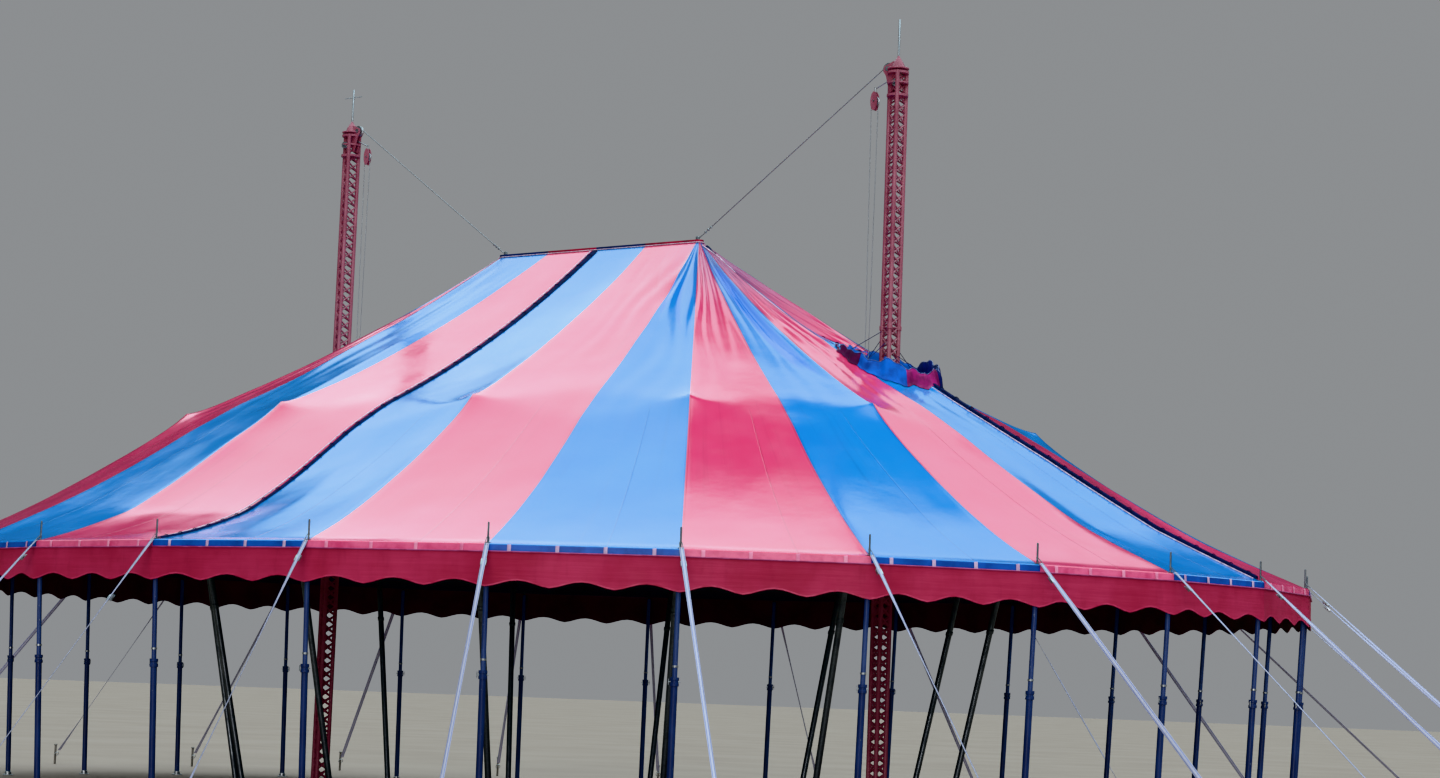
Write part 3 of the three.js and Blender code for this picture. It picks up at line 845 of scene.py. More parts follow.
def piece(name, shape, nodes, angle=HARD_EDGE):
    """Makes the object of a shape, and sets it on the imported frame."""
    mesh = bpy.data.meshes.new(name)
    mesh.from_pydata([tuple(p) for p in shape.points], [], shape.faces)
    used = sorted(set(shape.finishes))
    for finish in used:
        mesh.materials.append(FINISHES[finish])
    cut = mesh.uv_layers.new(name="cut")
    for face, finish, corners in zip(mesh.polygons, shape.finishes, shape.cuts):
        face.material_index = used.index(finish)
        for corner, place in zip(face.loop_indices, corners):
            cut.data[corner].uv = place
    smooth_edges(mesh, angle)
    made = bpy.data.objects.new(name, mesh)
    bpy.context.scene.collection.objects.link(made)
    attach(made, "root")
    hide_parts(*nodes)
    return made


def lined(made, finish, thickness):
    """Gives a sheet its thickness, and its inner face a dark finish that is painted shade for the inside of
    the tent.
    """
    mesh = made.data
    outer = len(mesh.materials)
    for _ in range(outer):
        mesh.materials.append(FINISHES[finish])
    skin = made.modifiers.new("shaded_inside", "SOLIDIFY")
    skin.thickness = thickness
    skin.offset = -1
    skin.material_offset = outer
    skin.material_offset_rim = 0
    bpy.context.view_layer.update()
    graph = bpy.context.evaluated_depsgraph_get()
    solid = made.evaluated_get(graph)
    made.data = bpy.data.meshes.new_from_object(solid, preserve_all_data_layers=True, depsgraph=graph)
    made.modifiers.clear()
    bpy.data.meshes.remove(mesh)
    made.data.name = made.name
    smooth_edges(made.data, THICKENED_EDGE)


# The canopy's surface, for the first quarter


def eave_point(seam):
    angle = 2 * math.pi * seam / SEAMS
    return Vector((EAVE_HALF_LENGTH * math.sin(angle), -EAVE_HALF_WIDTH * math.cos(angle), EAVE_HEIGHT))


def outward_at(seam):
    return (eave_point(seam) * Vector((1, 1, 0))).normalized()


def in_bay(place):
    """The bay that a place is in, and the part of the way across it."""
    bay = min(int(place), QUARTER_SEAMS - 1)
    return bay, place - bay


def seam_shape(seam):
    if seam == 0:
        return LACED_SEAM
    if seam == QUARTER_SEAMS:
        return MAST_SEAM
    return POLE_SEAM if seam % 2 else PLAIN_SEAM


def seam_top(seam, radius):
    """The upper end of a seam: two bays lie along the ridge, and the others fan out from its end."""
    x = RIDGE_HALF_LENGTH * min(seam, 2) / 2
    if seam <= 2:
        return Vector((x, -radius, RIDGE_HEIGHT))
    away = (eave_point(seam) - Vector((x, 0, EAVE_HEIGHT))).normalized()
    return Vector((x + radius * away.x, radius * away.y, RIDGE_HEIGHT))


def seam_height(shape, share):
    """The height of a seam, which sags above and below its crease."""
    split, crease = shape["share"], shape["crease"]
    if share <= split:
        start, end, sag, part = RIDGE_HEIGHT, crease, shape["sags"][0], share / split
    else:
        start, end, sag, part = crease, EAVE_HEIGHT, shape["sags"][1], (share - split) / (1 - split)
    return mixed(start, end, part) - 4 * sag * part * (1 - part)


def softened_height(shape, share, width):
    """The height of a seam with its crease rounded over a width."""
    reach = width * max(0.0, 1 - abs(share - shape["share"]) / SOFTENING_REACH)
    if reach < 1e-4:
        return seam_height(shape, share)
    heights = [seam_height(shape, within(share + reach * step / 3)) for step in range(-3, 4)]
    return sum(heights) / len(heights)


def bay_blend(part, start=0.0, end=0.0):
    """From 0 to 1 across a bay, with the given pulls at its two seams."""
    rise = 3 * part**2 - 2 * part**3
    return rise + start * (part**3 - 2 * part**2 + part) + end * (part**3 - part**2)


def plan_of(place, share):
    """The plan point of the canopy at a place and a share, and the height of a straight seam there."""
    bay, part = in_bay(place)
    ends = [seam_top(seam, RIDGE_RADIUS).lerp(eave_point(seam), share) for seam in (bay, bay + 1)]
    return ends[0].lerp(ends[1], part)


def bay_width(bay, share):
    return (plan_of(bay + 1, share) - plan_of(bay, share)).length


POLE_HEADS = [plan_of(seam, CREASE_SHARE) for seam in (1, 3, 5)]


def canopy_height(place, share):
    bay, part = in_bay(place)
    first, second = seam_shape(bay), seam_shape(bay + 1)
    width = CREASE_SOFTENING * mixed(first["soft"], second["soft"], bay_blend(part))
    heights = [softened_height(shape, share, width) for shape in (first, second)]
    return mixed(*heights, bay_blend(part, first["pull"], second["pull"]))


def kink(share, start, fold):
    """0 at the start and at the eave, and 1 at a sharp fold between them."""
    if share <= start:
        return 0.0
    return (share - start) / (fold - start) if share < fold else (1 - share) / (1 - fold)


def fold_depth(place, share, hand):
    """How deep the canvas is folded in above the eave beside the laced seams."""
    end = within((place - END_FOLD_PLACE) / END_FOLD_WIDTH) * kink(share, FOLD_START, END_FOLD_SHARE)
    if hand > 0:
        front = FOLD_DEPTH * max(0.0, 1 - place / FOLD_WIDTH) * kink(share, FOLD_START, FOLD_SHARE)
    else:
        across = min(place, 1.0)
        front = (FOLD_DEPTH + WIDE_FOLD_GROWTH * across) * within(WIDE_FOLD_WIDTH - place)
        front *= kink(share, FOLD_START, FOLD_SHARE + WIDE_FOLD_DROP * across)
    return front + END_FOLD_DEPTH * end


def furrow_depth(place, share):
    """How deep the sharp wrinkles below the ridge are here."""
    depth = 0.0
    for place_a, share_a, place_b, share_b, deep, half in FURROWS:
        if share_a < share < share_b:
            along = (share - share_a) / (share_b - share_a)
            line = mixed(place_a, place_b, along)
            if abs(place - line) < 1.0:
                away = (place - line) * bay_width(in_bay(line)[0], share)
                depth += deep * math.sin(math.pi * along) ** 0.6 * math.exp(-((away / half) ** 2))
    return depth


def unevenness(point, seed):
    """Slow and fine unevenness of the canvas."""
    x, y = point.x, point.y
    wander = noise.noise(Vector((x * WANDER_SCALE + seed, y * WANDER_SCALE, seed)))
    fine = noise.noise(Vector((x * FINE_SCALE, y * FINE_SCALE + seed, seed)))
    return WANDER_DEPTH * wander + FINE_DEPTH * fine


def gathers(place, share, seed):
    """The small gathers that run down from the ridge's end."""
    crowd = within((place - GATHER_START) / GATHER_RISE)
    near = share / GATHER_SHARE
    shift = 1.4 * noise.noise(Vector((place * 1.3, share * 4.0, seed + 3.0)))
    wave = math.sin(2 * math.pi * (GATHERS_PER_BAY * place + shift))
    return GATHER_DEPTH * crowd * near * math.exp(1 - near) * wave


def canopy_point(place, share, seed=0.0, hand=1):
    """A point of the canopy, with its dimples round the pole heads and its wrinkles."""
    point = plan_of(place, share)
    crest = place
    if hand > 0:
        furrow = furrow_depth(place, share)
    else:
        furrow = FAINT_FURROWS * furrow_depth(place + FAINT_FURROW_SHIFT, share)
    if hand < 0 and share < CREASE_SHARE:
        rise = math.sin(math.pi * share / CREASE_SHARE)
        crest -= CREST_SHIFT * rise * math.exp(-(((place - 1 - CREST_SHIFT) / CREST_WIDTH) ** 2))
    point.z = canopy_height(crest, share) - fold_depth(place, share, hand) - furrow
    for head in POLE_HEADS:
        away = math.hypot(point.x - head.x, point.y - head.y) / HEAD_REACH
        point.z -= HEAD_DIMPLE * away * math.exp(1 - away)
    beside = within(min(place, QUARTER_SEAMS - place) / JOINT_CALM)
    calm = beside * within(min(share / RIDGE_CALM, (1 - share) / EAVE_CALM))
    point.z += calm * (unevenness(point, seed) + gathers(place, share, seed))
    return point


def row_shares():
    """The shares of the rows of points, with two close to the crease."""
    rows = [CREASE_SHARE * row / UPPER_ROWS for row in range(UPPER_ROWS)]
    rows += [CREASE_SHARE - CREASE_EDGE, CREASE_SHARE, CREASE_SHARE + CREASE_EDGE]
    rows += [CREASE_SHARE + (1 - CREASE_SHARE) * row / LOWER_ROWS for row in range(1, LOWER_ROWS + 1)]
    return sorted(rows)


def quarter_seams(quarter):
    """The numbers of the seams of a quarter, from the middle of its long side to the end of the oval."""
    x, y = QUARTERS[quarter]
    start = 0 if y > 0 else SEAMS // 2
    return [(start + x * y * seam) % SEAMS for seam in range(QUARTER_SEAMS + 1)]


def side_pole_name(seam):
    return numbered("side_pole_", seam + 1)


def quarter_pole_name(seam):
    return numbered("quarter_pole_", QUARTER_POLE_SEAMS.index(seam) + 1)


def eave_poles(quarter):
    """The side poles that hold up a quarter of the canopy."""
    return [side_pole_name(seam) for seam in quarter_seams(quarter)]


def bay_is_blue(quarter, bay):
    x, y = QUARTERS[quarter]
    return (bay % 2 == 0) == (x * y > 0)


def grime_at(place, share):
    """How much painted shade darkens the canvas under the ends of the ridge, from 0 to 1."""
    ends = within((place - RIDGE_SHADE_START) / RIDGE_SHADE_RISE)
    return RIDGE_SHADE_MOST * ends * math.exp(-((share / RIDGE_SHADE_SHARE) ** 2))


def beside_joints(point):
    """A point of the first quarter, kept clear of the two laced joints."""
    return Vector((max(point.x, SEAM_GAP / 2), min(point.y, -SEAM_GAP / 2), point.z))


def at_hole(point):
    """Pleats the canvas near the mast's hole, and draws a point inside the hole out to its rim."""
    away = Vector((point.x - MAST_PLACE, point.y))
    inside = away.length < COLLAR_RADIUS
    beyond = max(away.length, COLLAR_RADIUS) - COLLAR_RADIUS
    if beyond < 0.9 * COLLAR_RADIUS:
        angle = math.atan2(-away.y, away.x)
        point.z += PLEAT_DEPTH * math.exp(-beyond / PLEAT_REACH) * math.sin(PLEATS * angle)
    if inside:
        rim = away.normalized() * COLLAR_RADIUS if away.length > 0.01 else Vector((-COLLAR_RADIUS, 0))
        point.z -= HOLE_SLOPE * (rim.x - away.x)
        point.x = MAST_PLACE + rim.x
        point.y = rim.y
    return inside


def canvas_quarter(quarter):
    """A quarter of the canopy: its panels and turned border, with marks of painted shade under the ridge
    ends and in the wrinkles, and of its seams.
    """
    x, y = QUARTERS[quarter]
    hand = x * y
    seed = 11.0 * x + 5.0 * y
    rows = row_shares()
    columns = []
    inside = []
    marks = []
    for number in range(QUARTER_SEAMS * BAY_COLUMNS + 1):
        place = number / BAY_COLUMNS
        bay, part = in_bay(place)
        beside = min(part, 1 - part)
        column = []
        for share in rows:
            point = canopy_point(place, share, seed, hand)
            inside.append(at_hole(point))
            column.append(point)
            # Painted shade in the deeper wrinkles
            furrow = min(1.0, furrow_depth(place, share) / FURROW_SHADE_DEPTH) if hand > 0 else 0.0
            marks.append((grime_at(place, share), furrow, beside * bay_width(bay, share)))
        outward = outward_at(bay).lerp(outward_at(bay + 1), part)
        for reach, drop in BORDER_ROWS:
            point = plan_of(place, 1.0) + outward * CANVAS_BORDER * reach
            point.z = EAVE_HEIGHT - BORDER_DROP * drop
            column.append(point)
            inside.append(False)
            marks.append((0.0, 0.0, beside * BORDER_BAY))
        columns.append([flipped(beside_joints(point), x, y) for point in column])

    def finish_at(bay, row, corners):
        colour = "blue" if bay_is_blue(quarter, bay) else "red"
        return None if all(inside[corner] for corner in corners) else colour

    def trim(body):
        loose = [v for v in body.verts if not v.link_faces]
        bmesh.ops.delete(body, geom=loose, context="VERTS")

    heights = rows + [1.0 + BORDER_ROW_SHARE * step for step in range(1, len(BORDER_ROWS) + 1)]
    shape = Shape()
    shape.cloth(columns, heights * len(columns), BAY_COLUMNS, hand, finish_at)
    made = piece("canvas_sheet_" + quarter, shape, ["canvas_" + quarter], CLOTH_EDGE)
    # The marks become attributes: painted shade under the ridge ends, painted shade in the wrinkles, and the
    # distance from the nearest seam
    for name, values in zip(("ridge_shade", "furrow", "seam_distance"), zip(*marks)):
        made.data.attributes.new(name, "FLOAT", "POINT").data.foreach_set("value", values)
    reworked(made.data, trim)
    lined(made, "shaded_inside", CANVAS_THICKNESS)
    inner = [quarter_pole_name(seam) for seam in quarter_seams(quarter) if seam in QUARTER_POLE_SEAMS]
    outer = eave_poles(quarter)


# The valance


def rim_point(place, reach):
    """A point round the eave at a distance outside the seam points, for the first quarter."""
    bay, part = in_bay(place)
    ends = [eave_point(seam) + outward_at(seam) * reach for seam in (bay, bay + 1)]
    return ends[0].lerp(ends[1], part)


def valance_column(place, seed):
    """The points of the valance from its top to its scalloped edge, which is lowest at the poles."""
    rise = (1 - math.cos(2 * math.pi * SCALLOPS_PER_BAY * place)) / 2
    bottom = EAVE_HEIGHT - VALANCE_DROP + SCALLOP_DEPTH * rise**SCALLOP_FULLNESS
    top = EAVE_HEIGHT - BORDER_DROP
    border = top - BORDER_HEIGHT
    levels = [top, (top + border) / 2, border + 0.004, border]
    levels += [mixed(border, bottom, step / VALANCE_ROWS) for step in range(1, VALANCE_ROWS)]
    levels += [bottom + HEM_HEIGHT, bottom + 0.004, bottom]
    calm = min(1.0, place / VALANCE_CALM, (QUARTER_SEAMS - place) / VALANCE_CALM)
    column = []
    for level in levels:
        low = max(0.0, (border - level) / (border - bottom))
        fold = VALANCE_FOLD * math.sin(2 * math.pi * SCALLOPS_PER_BAY * place + 0.8) * low
        flutter = VALANCE_FLUTTER * low * calm * noise.noise(Vector((place * 2.2, level * 2.0, seed)))
        ripple = VALANCE_RIPPLE * calm * noise.noise(Vector((place * 1.1, level * 22.0, seed + 7.0)))
        point = rim_point(place, VALANCE_REACH + fold + flutter + ripple)
        point.z = level
        column.append(beside_joints(point))
    return column


def valance_quarter(quarter):
    x, y = QUARTERS[quarter]
    columns = []
    for number in range(QUARTER_SEAMS * VALANCE_COLUMNS + 1):
        column = valance_column(number / VALANCE_COLUMNS, 4.0 * x + 9.0 * y)
        columns.append([flipped(point, x, y) for point in column])

    def finish_at(bay, row, corners):
        if row < 2:
            return "blue_border" if bay_is_blue(quarter, bay) else "red_border"
        return "hem" if row >= len(columns[0]) - 3 else "valance"

    shape = Shape()
    heights = [point.z for column in columns for point in column]
    shape.cloth(columns, heights, VALANCE_COLUMNS, x * y, finish_at)
    made = piece("valance_sheet_" + quarter, shape, ["valance_" + quarter], CLOTH_EDGE)
    lined(made, "valance_shaded_inside", VALANCE_THICKNESS)
    eave_poles(quarter)


def eave_trim(quarter):
    """The pale rope under the border, and the white and pink tabs over the edge."""
    x, y = QUARTERS[quarter]
    shape = Shape()
    level = Vector((1, 1, 0))
    under = upward(EAVE_HEIGHT - BORDER_DROP - BORDER_HEIGHT)
    places = [step / EAVE_ROPE_STEPS for step in range(QUARTER_SEAMS * EAVE_ROPE_STEPS + 1)]
    path = [flipped(rim_point(place, VALANCE_REACH + 0.009), x, y) * level + under for place in places]
    shape.tube(path, EAVE_ROPE_RADIUS, 8, "eave_rope")
    for bay in range(QUARTER_SEAMS):
        along = flipped((eave_point(bay + 1) - eave_point(bay)).normalized(), x, y)
        finish = "tab" if bay_is_blue(quarter, bay) else "tab_pink"
        for part in TAB_PLACES:
            spots = []
            for reach, height in TAB_POINTS:
                spots.append(flipped(rim_point(bay + part, reach), x, y) + upward(height))
            shape.ribbon(spots, [along] * len(spots), TAB_WIDTH, TAB_THICKNESS, finish)
    piece("eave_trim_" + quarter, shape, ["valance_" + quarter])


# Lacing


def lacing(name, x, y, place, start, end, nodes):
    """A covered lacing down the joint of two quarters: a navy flap, a pale edge, and its loops."""
    shape = Shape()
    steps = LACING_STEPS
    shares = [mixed(start, end, step / steps) for step in range(steps + 1)]
    on_side = place == 0
    side = Vector((1, 0, 0)) if on_side else Vector((0, 1, 0))
    lift = LACING_HEIGHT if on_side else END_LACING_HEIGHT
    onto = Vector((0, y, 1)) if on_side else Vector((x, 0, 1))
    spots = [canopy_point(place, share) * onto for share in shares]
    rings = []
    for number, (share, point) in enumerate(zip(shares, spots)):
        half = LACING_WIDTH / 2 * (1.25 - 0.65 * share) * (1 + 0.07 * math.sin(number * 1.7))
        rings.append([point + side * (a * half) + upward(0.003 + b * lift) for a, b in LACING_SECTION])
    shape.net(rings, "navy", closed=False, caps=False)
    edge = []
    for share in shares:
        off = LACING_WIDTH * 0.95 / bay_width(0 if on_side else QUARTER_SEAMS - 1, share)
        point = canopy_point(off if on_side else QUARTER_SEAMS - off, share)
        edge.append(flipped(point, -1 if on_side else x, y) + upward(0.008))
    shape.tube(edge, LACING_EDGE_RADIUS, 6, "rope")
    length = sum((after - before).length for before, after in zip(spots, spots[1:]))
    loops = int(length / LOOP_SPACING)
    for loop in range(loops):
        at = (loop + 0.5) / loops * steps
        low = int(at)
        high = min(low + 1, steps)
        point = spots[low].lerp(spots[high], at - low)
        along = (spots[high] - spots[max(low - 1, 0)]).normalized()
        arc = []
        for turn in range(LOOP_STEPS + 1):
            angle = math.pi * turn / LOOP_STEPS
            out = side * (-LACING_WIDTH * 0.62 * math.cos(angle))
            over = upward(0.006 + (lift + 0.004) * math.sin(angle))
            arc.append(point + out + over + along * (LOOP_SLANT * (turn / LOOP_STEPS - 0.5)))
        shape.tube(arc, LOOP_RADIUS, 6, "navy")
    piece(name, shape, nodes)


# Poles, straps and stakes


def side_pole(seam):
    """A side pole: its foot, two tubes with a clamp where they join, and a spike through the canvas."""
    outward = outward_at(seam)
    head = eave_point(seam)
    moved = leaning(head, outward * -POLE_LEAN, SHOULDER)
    shape = Shape()
    shape.turned(disc(FOOT_RADIUS, 0.0, FOOT_THICKNESS, 0.003) + FOOT_SOCKET, 28, "steel", moved)
    shape.turned(bar(LOWER_TUBE_RADIUS, 0.05, 0.8, 1.62), 20, "pole", moved)
    base = TUBE_JOINT_HEIGHT - CLAMP_HEIGHT
    clamp = [(CLAMP_RADIUS - inset, base + height) for inset, height in CLAMP_PROFILE]
    clamp = [(LOWER_TUBE_RADIUS, base)] + clamp + [(UPPER_TUBE_RADIUS, base + 0.0901)]
    shape.turned(clamp, 24, "pole", moved)
    shape.turned(bar(UPPER_TUBE_RADIUS, 1.68, 2.3, SHOULDER), 20, "pole_upper", moved)
    shape.turned(bar(UPPER_TUBE_RADIUS + 0.006, 1.8, 1.82), 20, "steel", moved)
    spike = [(UPPER_TUBE_RADIUS, SHOULDER), (SPIKE_RADIUS + 0.004, SHOULDER + 0.014)]
    spike += [(SPIKE_RADIUS, SHOULDER + 0.018), (SPIKE_RADIUS, SPIKE_TOP - 0.012)]
    spike += [(SPIKE_RADIUS * 0.7, SPIKE_TOP - 0.003), (SPIKE_RADIUS * 0.2, SPIKE_TOP)]
    shape.turned(spike, 14, "dull_steel", moved)
    shape.turned(EYELET, 18, "dull_steel", standing(head))
    across = outward.cross(upward(1))
    middle = moved(upward(base + CLAMP_HEIGHT / 2))
    grip = middle + across * (HANDLE_REACH + 0.002)
    shape.tube([middle - across * HANDLE_REACH, grip], 0.006, 8, "steel")
    shape.tube([grip - upward(HANDLE_HALF), grip + upward(HANDLE_HALF)], 0.005, 8, "steel")
    piece(numbered("pole_", seam + 1), shape, [side_pole_name(seam)])


def strap_slope(seam):
    from_side = abs((seam + QUARTER_SEAMS) % (SEAMS // 2) - QUARTER_SEAMS)
    return SIDE_STRAP_SLOPE if from_side <= SIDE_SEAMS else STRAP_SLOPE


def ratchet(shape, spot, along, across, normal):
    """A webbing ratchet below the strap: a plate, two cheeks, an axle and a handle."""
    turn = Matrix((along, across, -normal)).transposed()
    shape.block(spot - normal * 0.004, (0.085, 0.056, 0.01), "steel", turn, 0.003)
    for edge in (-1, 1):
        cheek = spot - normal * 0.014 + across * 0.028 * edge
        shape.block(cheek, (0.075, 0.004, 0.03), "steel", turn, 0.0015)
    axle = spot - normal * 0.018
    shape.tube([axle - across * 0.03, axle + across * 0.03], 0.009, 14, "steel")
    shape.block(spot - normal * 0.028 - along * 0.02, (0.075, 0.045, 0.007), "steel", turn, 0.003)


def guy(seam):
    """A webbing strap from the spike to its stake, with its loop, ratchet and ring."""
    shape = Shape()
    outward = outward_at(seam)
    across = Vector((-outward.y, outward.x, 0))
    start = eave_point(seam) + upward(STRAP_RISE)
    end = start + outward * (start.z - STRAP_FOOT_HEIGHT) * strap_slope(seam)
    end.z = STRAP_FOOT_HEIGHT
    along = (end - start).normalized()
    normal = along.cross(across)
    roll = STRAP_ROLLS[seam % len(STRAP_ROLLS)]
    path = []
    sides = []
    for step in range(STRAP_STEPS + 1):
        share = step / STRAP_STEPS
        rise, fall = min(1.0, share * 2.2), min(1.0, (1 - share) * 4)
        twist = roll * math.sin(math.pi * rise / 2) * math.sin(math.pi * fall / 2)
        path.append((start + along * STRAP_START).lerp(end, STRAP_END * share))
        sides.append(across * math.cos(twist) + normal * math.sin(twist))
    shape.ribbon(path, sides, STRAP_WIDTH, STRAP_THICKNESS, "strap")
    link = []
    for turn in range(LINK_TURNS + 1):
        angle = math.pi * (turn / LINK_TURNS * 1.8 - 0.9)
        link.append(start + along * (0.05 - 0.065 * math.cos(angle)) + across * (0.018 * math.sin(angle)))
    shape.tube(link, LINK_RADIUS, 8, "dull_steel")
    spot = start + along * (LOW_RATCHET_PLACE if seam == LOW_RATCHET_SEAM else RATCHET_PLACE)
    ratchet(shape, spot, along, across, normal)
    centre = end - along * 0.05
    angles = ring_angles(RING_TURNS)
    ring = [centre + along * (0.045 * math.cos(a)) + across * (0.034 * math.sin(a)) for a in angles]
    shape.tube(ring, RING_RADIUS, 8, "steel", closed=True)
    stake = [(0.006, 0.0), (STAKE_RADIUS, 0.004), (STAKE_RADIUS, 0.296), (STAKE_RADIUS + 0.006, 0.299)]
    stake += [(STAKE_RADIUS + 0.009, 0.306), (STAKE_RADIUS + 0.008, 0.314)]
    stake += [(0.012, STAKE_HEIGHT), (0.002, STAKE_HEIGHT)]
    shape.turned(stake, 18, "stake", standing(Vector((end.x, end.y, 0))))
    piece(numbered("guy_", seam + 1), shape, [side_pole_name(seam)])


def quarter_pole(seam):
    """A leaning pole from the ground to the crease of the canopy, with a cone at its head."""
    quarter, rest = divmod(seam, QUARTER_SEAMS)
    eave = eave_point(seam)
    first = plan_of(QUARTER_SEAMS - rest if quarter % 2 else rest, CREASE_SHARE)
    head = flipped(first, math.copysign(1, eave.x), -math.copysign(1, eave.y))
    top = POLE_SEAM["crease"] - QUARTER_POLE_CLEARANCE
    moved = leaning(head, outward_at(seam) * -QUARTER_POLE_LEAN, top)
    shape = Shape()
    foot = disc(QUARTER_FOOT_RADIUS, 0.0, FOOT_THICKNESS, 0.003)
    shape.turned(foot + QUARTER_FOOT_SOCKET, 32, "dull_steel", moved)
    shape.turned(bar(QUARTER_POLE_RADIUS, 0.05, 1.5, 3.0, top - QUARTER_TIP_HEIGHT), 24, "dull_steel", moved)
    shape.turned(disc(0.046, 2.4, 2.45, 0.002, 0.003), 24, "dull_steel", moved)
    tip = [(radius, top - drop) for radius, drop in QUARTER_POLE_TIP]
    shape.turned([(QUARTER_POLE_RADIUS, top - QUARTER_TIP_HEIGHT)] + tip, 24, "stake", moved)
    node = quarter_pole_name(seam)
    piece(node.replace("quarter", "leaning"), shape, [node])


# Masts, their heads and collars


def mast(side, word):
    """A three-sided lattice mast on its base plate, with its head and a rod on top."""
    middle = Vector((MAST_PLACE * side, 0, 0))
    shape = Shape()
    shape.block(middle + upward(MAST_BASE[2] / 2), MAST_BASE, "mast")
    for edge_x in (-1, 1):
        for edge_y in (-1, 1):
            spot = middle + Vector((BOLT_PLACE * edge_x, BOLT_PLACE * edge_y, 0))
            shape.turned(BOLT, 6, "steel", standing(spot))
    corners = [middle + around(math.pi + angle, MAST_RADIUS) for angle in ring_angles(3)]
    sides = list(zip(corners, corners[1:] + corners[:1]))
    for corner, following in sides:
        shape.turned(bar(CHORD_RADIUS, 0.02, *CHORD_JOINTS, CHORD_TOP), 16, "mast", standing(corner))
        away = (corner - middle).normalized()
        turn = Matrix((away, away.cross(upward(1)), upward(1))).transposed()
        shape.block(corner + away * 0.05 + upward(0.07), (0.09, 0.008, 0.1), "mast", turn, 0.002)
        for panel in range(int((CHORD_TOP - BRACE_START) / BRACE_PANEL)):
            low = upward(BRACE_START + panel * BRACE_PANEL)
            for first, second in ((corner, following), (following, corner)):
                shape.tube([first + low, second + low + upward(BRACE_PANEL)], BRACE_RADIUS, 6, "mast")
        for joint in CHORD_JOINTS:
            shape.turned(disc(0.036, joint, joint + 0.052), 16, "mast", standing(corner))
    for joint in CHORD_JOINTS:
        level = upward(joint + 0.026)
        for corner, following in sides:
            shape.tube([corner + level, following + level], TIE_RADIUS, 8, "mast")
    mast_head(shape, middle, -side)
    rod_top = MAST_HEIGHT - ROD_RADIUS + ROD_HEIGHT
    rod = bar(ROD_RADIUS, MAST_HEIGHT, rod_top - 0.01) + [(ROD_RADIUS * 0.5, rod_top)]
    shape.turned(rod, 12, "steel", standing(middle))
    if side < 0:
        level = middle + upward(MAST_HEIGHT + ROD_HEIGHT * 0.8)
        reach = Vector((CROSSBAR_LENGTH / 2, 0, 0))
        shape.tube([level - reach, level + reach], CROSSBAR_RADIUS, 8, "steel")
    piece("mast_lattice_" + word, shape, ["mast_" + word])


def wheel_at(shape, hub, radius, width):
    """A grooved pulley wheel on a level axle along Y."""
    half = width / 2
    rim = [(0.3, -half), (1.0, -half), (1.0, -half * 0.6), (0.86, -half * 0.25)]
    rim += [(0.86, half * 0.25), (1.0, half * 0.6), (1.0, half), (0.3, half)]
    shape.turned([(radius * share, height) for share, height in rim], 28, "steel", lying(hub))
    shape.turned(bar(0.012, -half - 0.02, half + 0.02), 12, "steel", lying(hub))


def mast_head(shape, middle, inner):
    """The head cage of a mast: three hoops, a cap, cheek plates with their pulleys, and a crown."""
    for drop, depth in HOOPS:
        near, far = HOOP_RADII
        hoop = [(near, 0), (far, 0), (far, depth), (near, depth), (near, 0.001)]
        shape.turned(hoop, 24, "mast", standing(middle + upward(MAST_HEIGHT - drop)))
    top = middle + upward(MAST_HEIGHT)
    shape.turned(CAP, 24, "mast", standing(top))
    sheave = top + Vector((inner * SHEAVE_REACH, 0, 0))
    for edge in (-1, 1):
        outline = [(top.x + inner * reach, top.z + height) for reach, height in CHEEK]
        shape.plate(outline, 0.034 * edge, 0.007, "mast")
        boss = sheave + Vector((0, 0.038 * edge, 0))
        shape.turned(bar(0.03, 0.0, 0.005), 16, "steel", lying(boss, edge))
        wheel_at(shape, top + Vector((-inner * 0.03, edge * 0.1, -0.2)), 0.045, 0.03)
    wheel_at(shape, sheave, SHEAVE_RADIUS, 0.04)
    shape.turned(CROWN, 20, "mast", standing(top))
    hoist(shape, top, inner)


def hoist(shape, top, inner):
    """The hoist block that hangs beside a mast head, with its pulley and two fall lines."""
    eye = top + Vector((inner * HOIST_REACH, 0, -HOIST_DROP))
    shape.tube([top + Vector((inner * 0.12, 0, -0.14)), eye + upward(0.03)], 0.008, 8, "steel")
    shape.tube([eye + upward(0.05), eye], 0.012, 10, "steel")
    hub = eye - upward(HOIST_HALF_HEIGHT)
    outline = []
    for angle in ring_angles(14):
        spot = hub + Vector((HOIST_HALF_WIDTH * math.cos(angle), 0, HOIST_HALF_HEIGHT * math.sin(angle)))
        outline.append((spot.x, spot.z))
    for edge in (-1, 1):
        shape.plate(outline, 0.024 * edge, 0.006, "mast")
    wheel_at(shape, hub, 0.06, 0.03)
    for edge in (-FALL_LINE_SPREAD, FALL_LINE_SPREAD):
        high = hub + Vector((edge, 0, -0.02))
        low = Vector((eye.x + edge * 0.4, 0, COLLAR_MIDDLE - 0.4))
        shape.tube([high.lerp(low, step / 12) for step in range(13)], FALL_LINE_RADIUS, 6, "cable")


def collar_finish(angle, side):
    """The colour of the gathered canvas at an angle round a collar, with painted shade in its navy and
    maroon stretches.
    """
    turned = math.degrees(angle if side > 0 else math.pi - angle) % 360
    for limit, finish in COLLAR_COLOURS:
        if turned < limit:
            return finish
    return COLLAR_COLOURS[0][1]


def canvas_surface():
    """The canvas as one body, to lay the collar flaps on."""
    points = []
    faces = []
    for quarter in QUARTERS:
        mesh = bpy.data.objects["canvas_sheet_" + quarter].data
        start = len(points)
        points.extend(v.co.copy() for v in mesh.vertices)
        faces.extend([start + corner for corner in face.vertices] for face in mesh.polygons)
    return BVHTree.FromPolygons(points, faces)


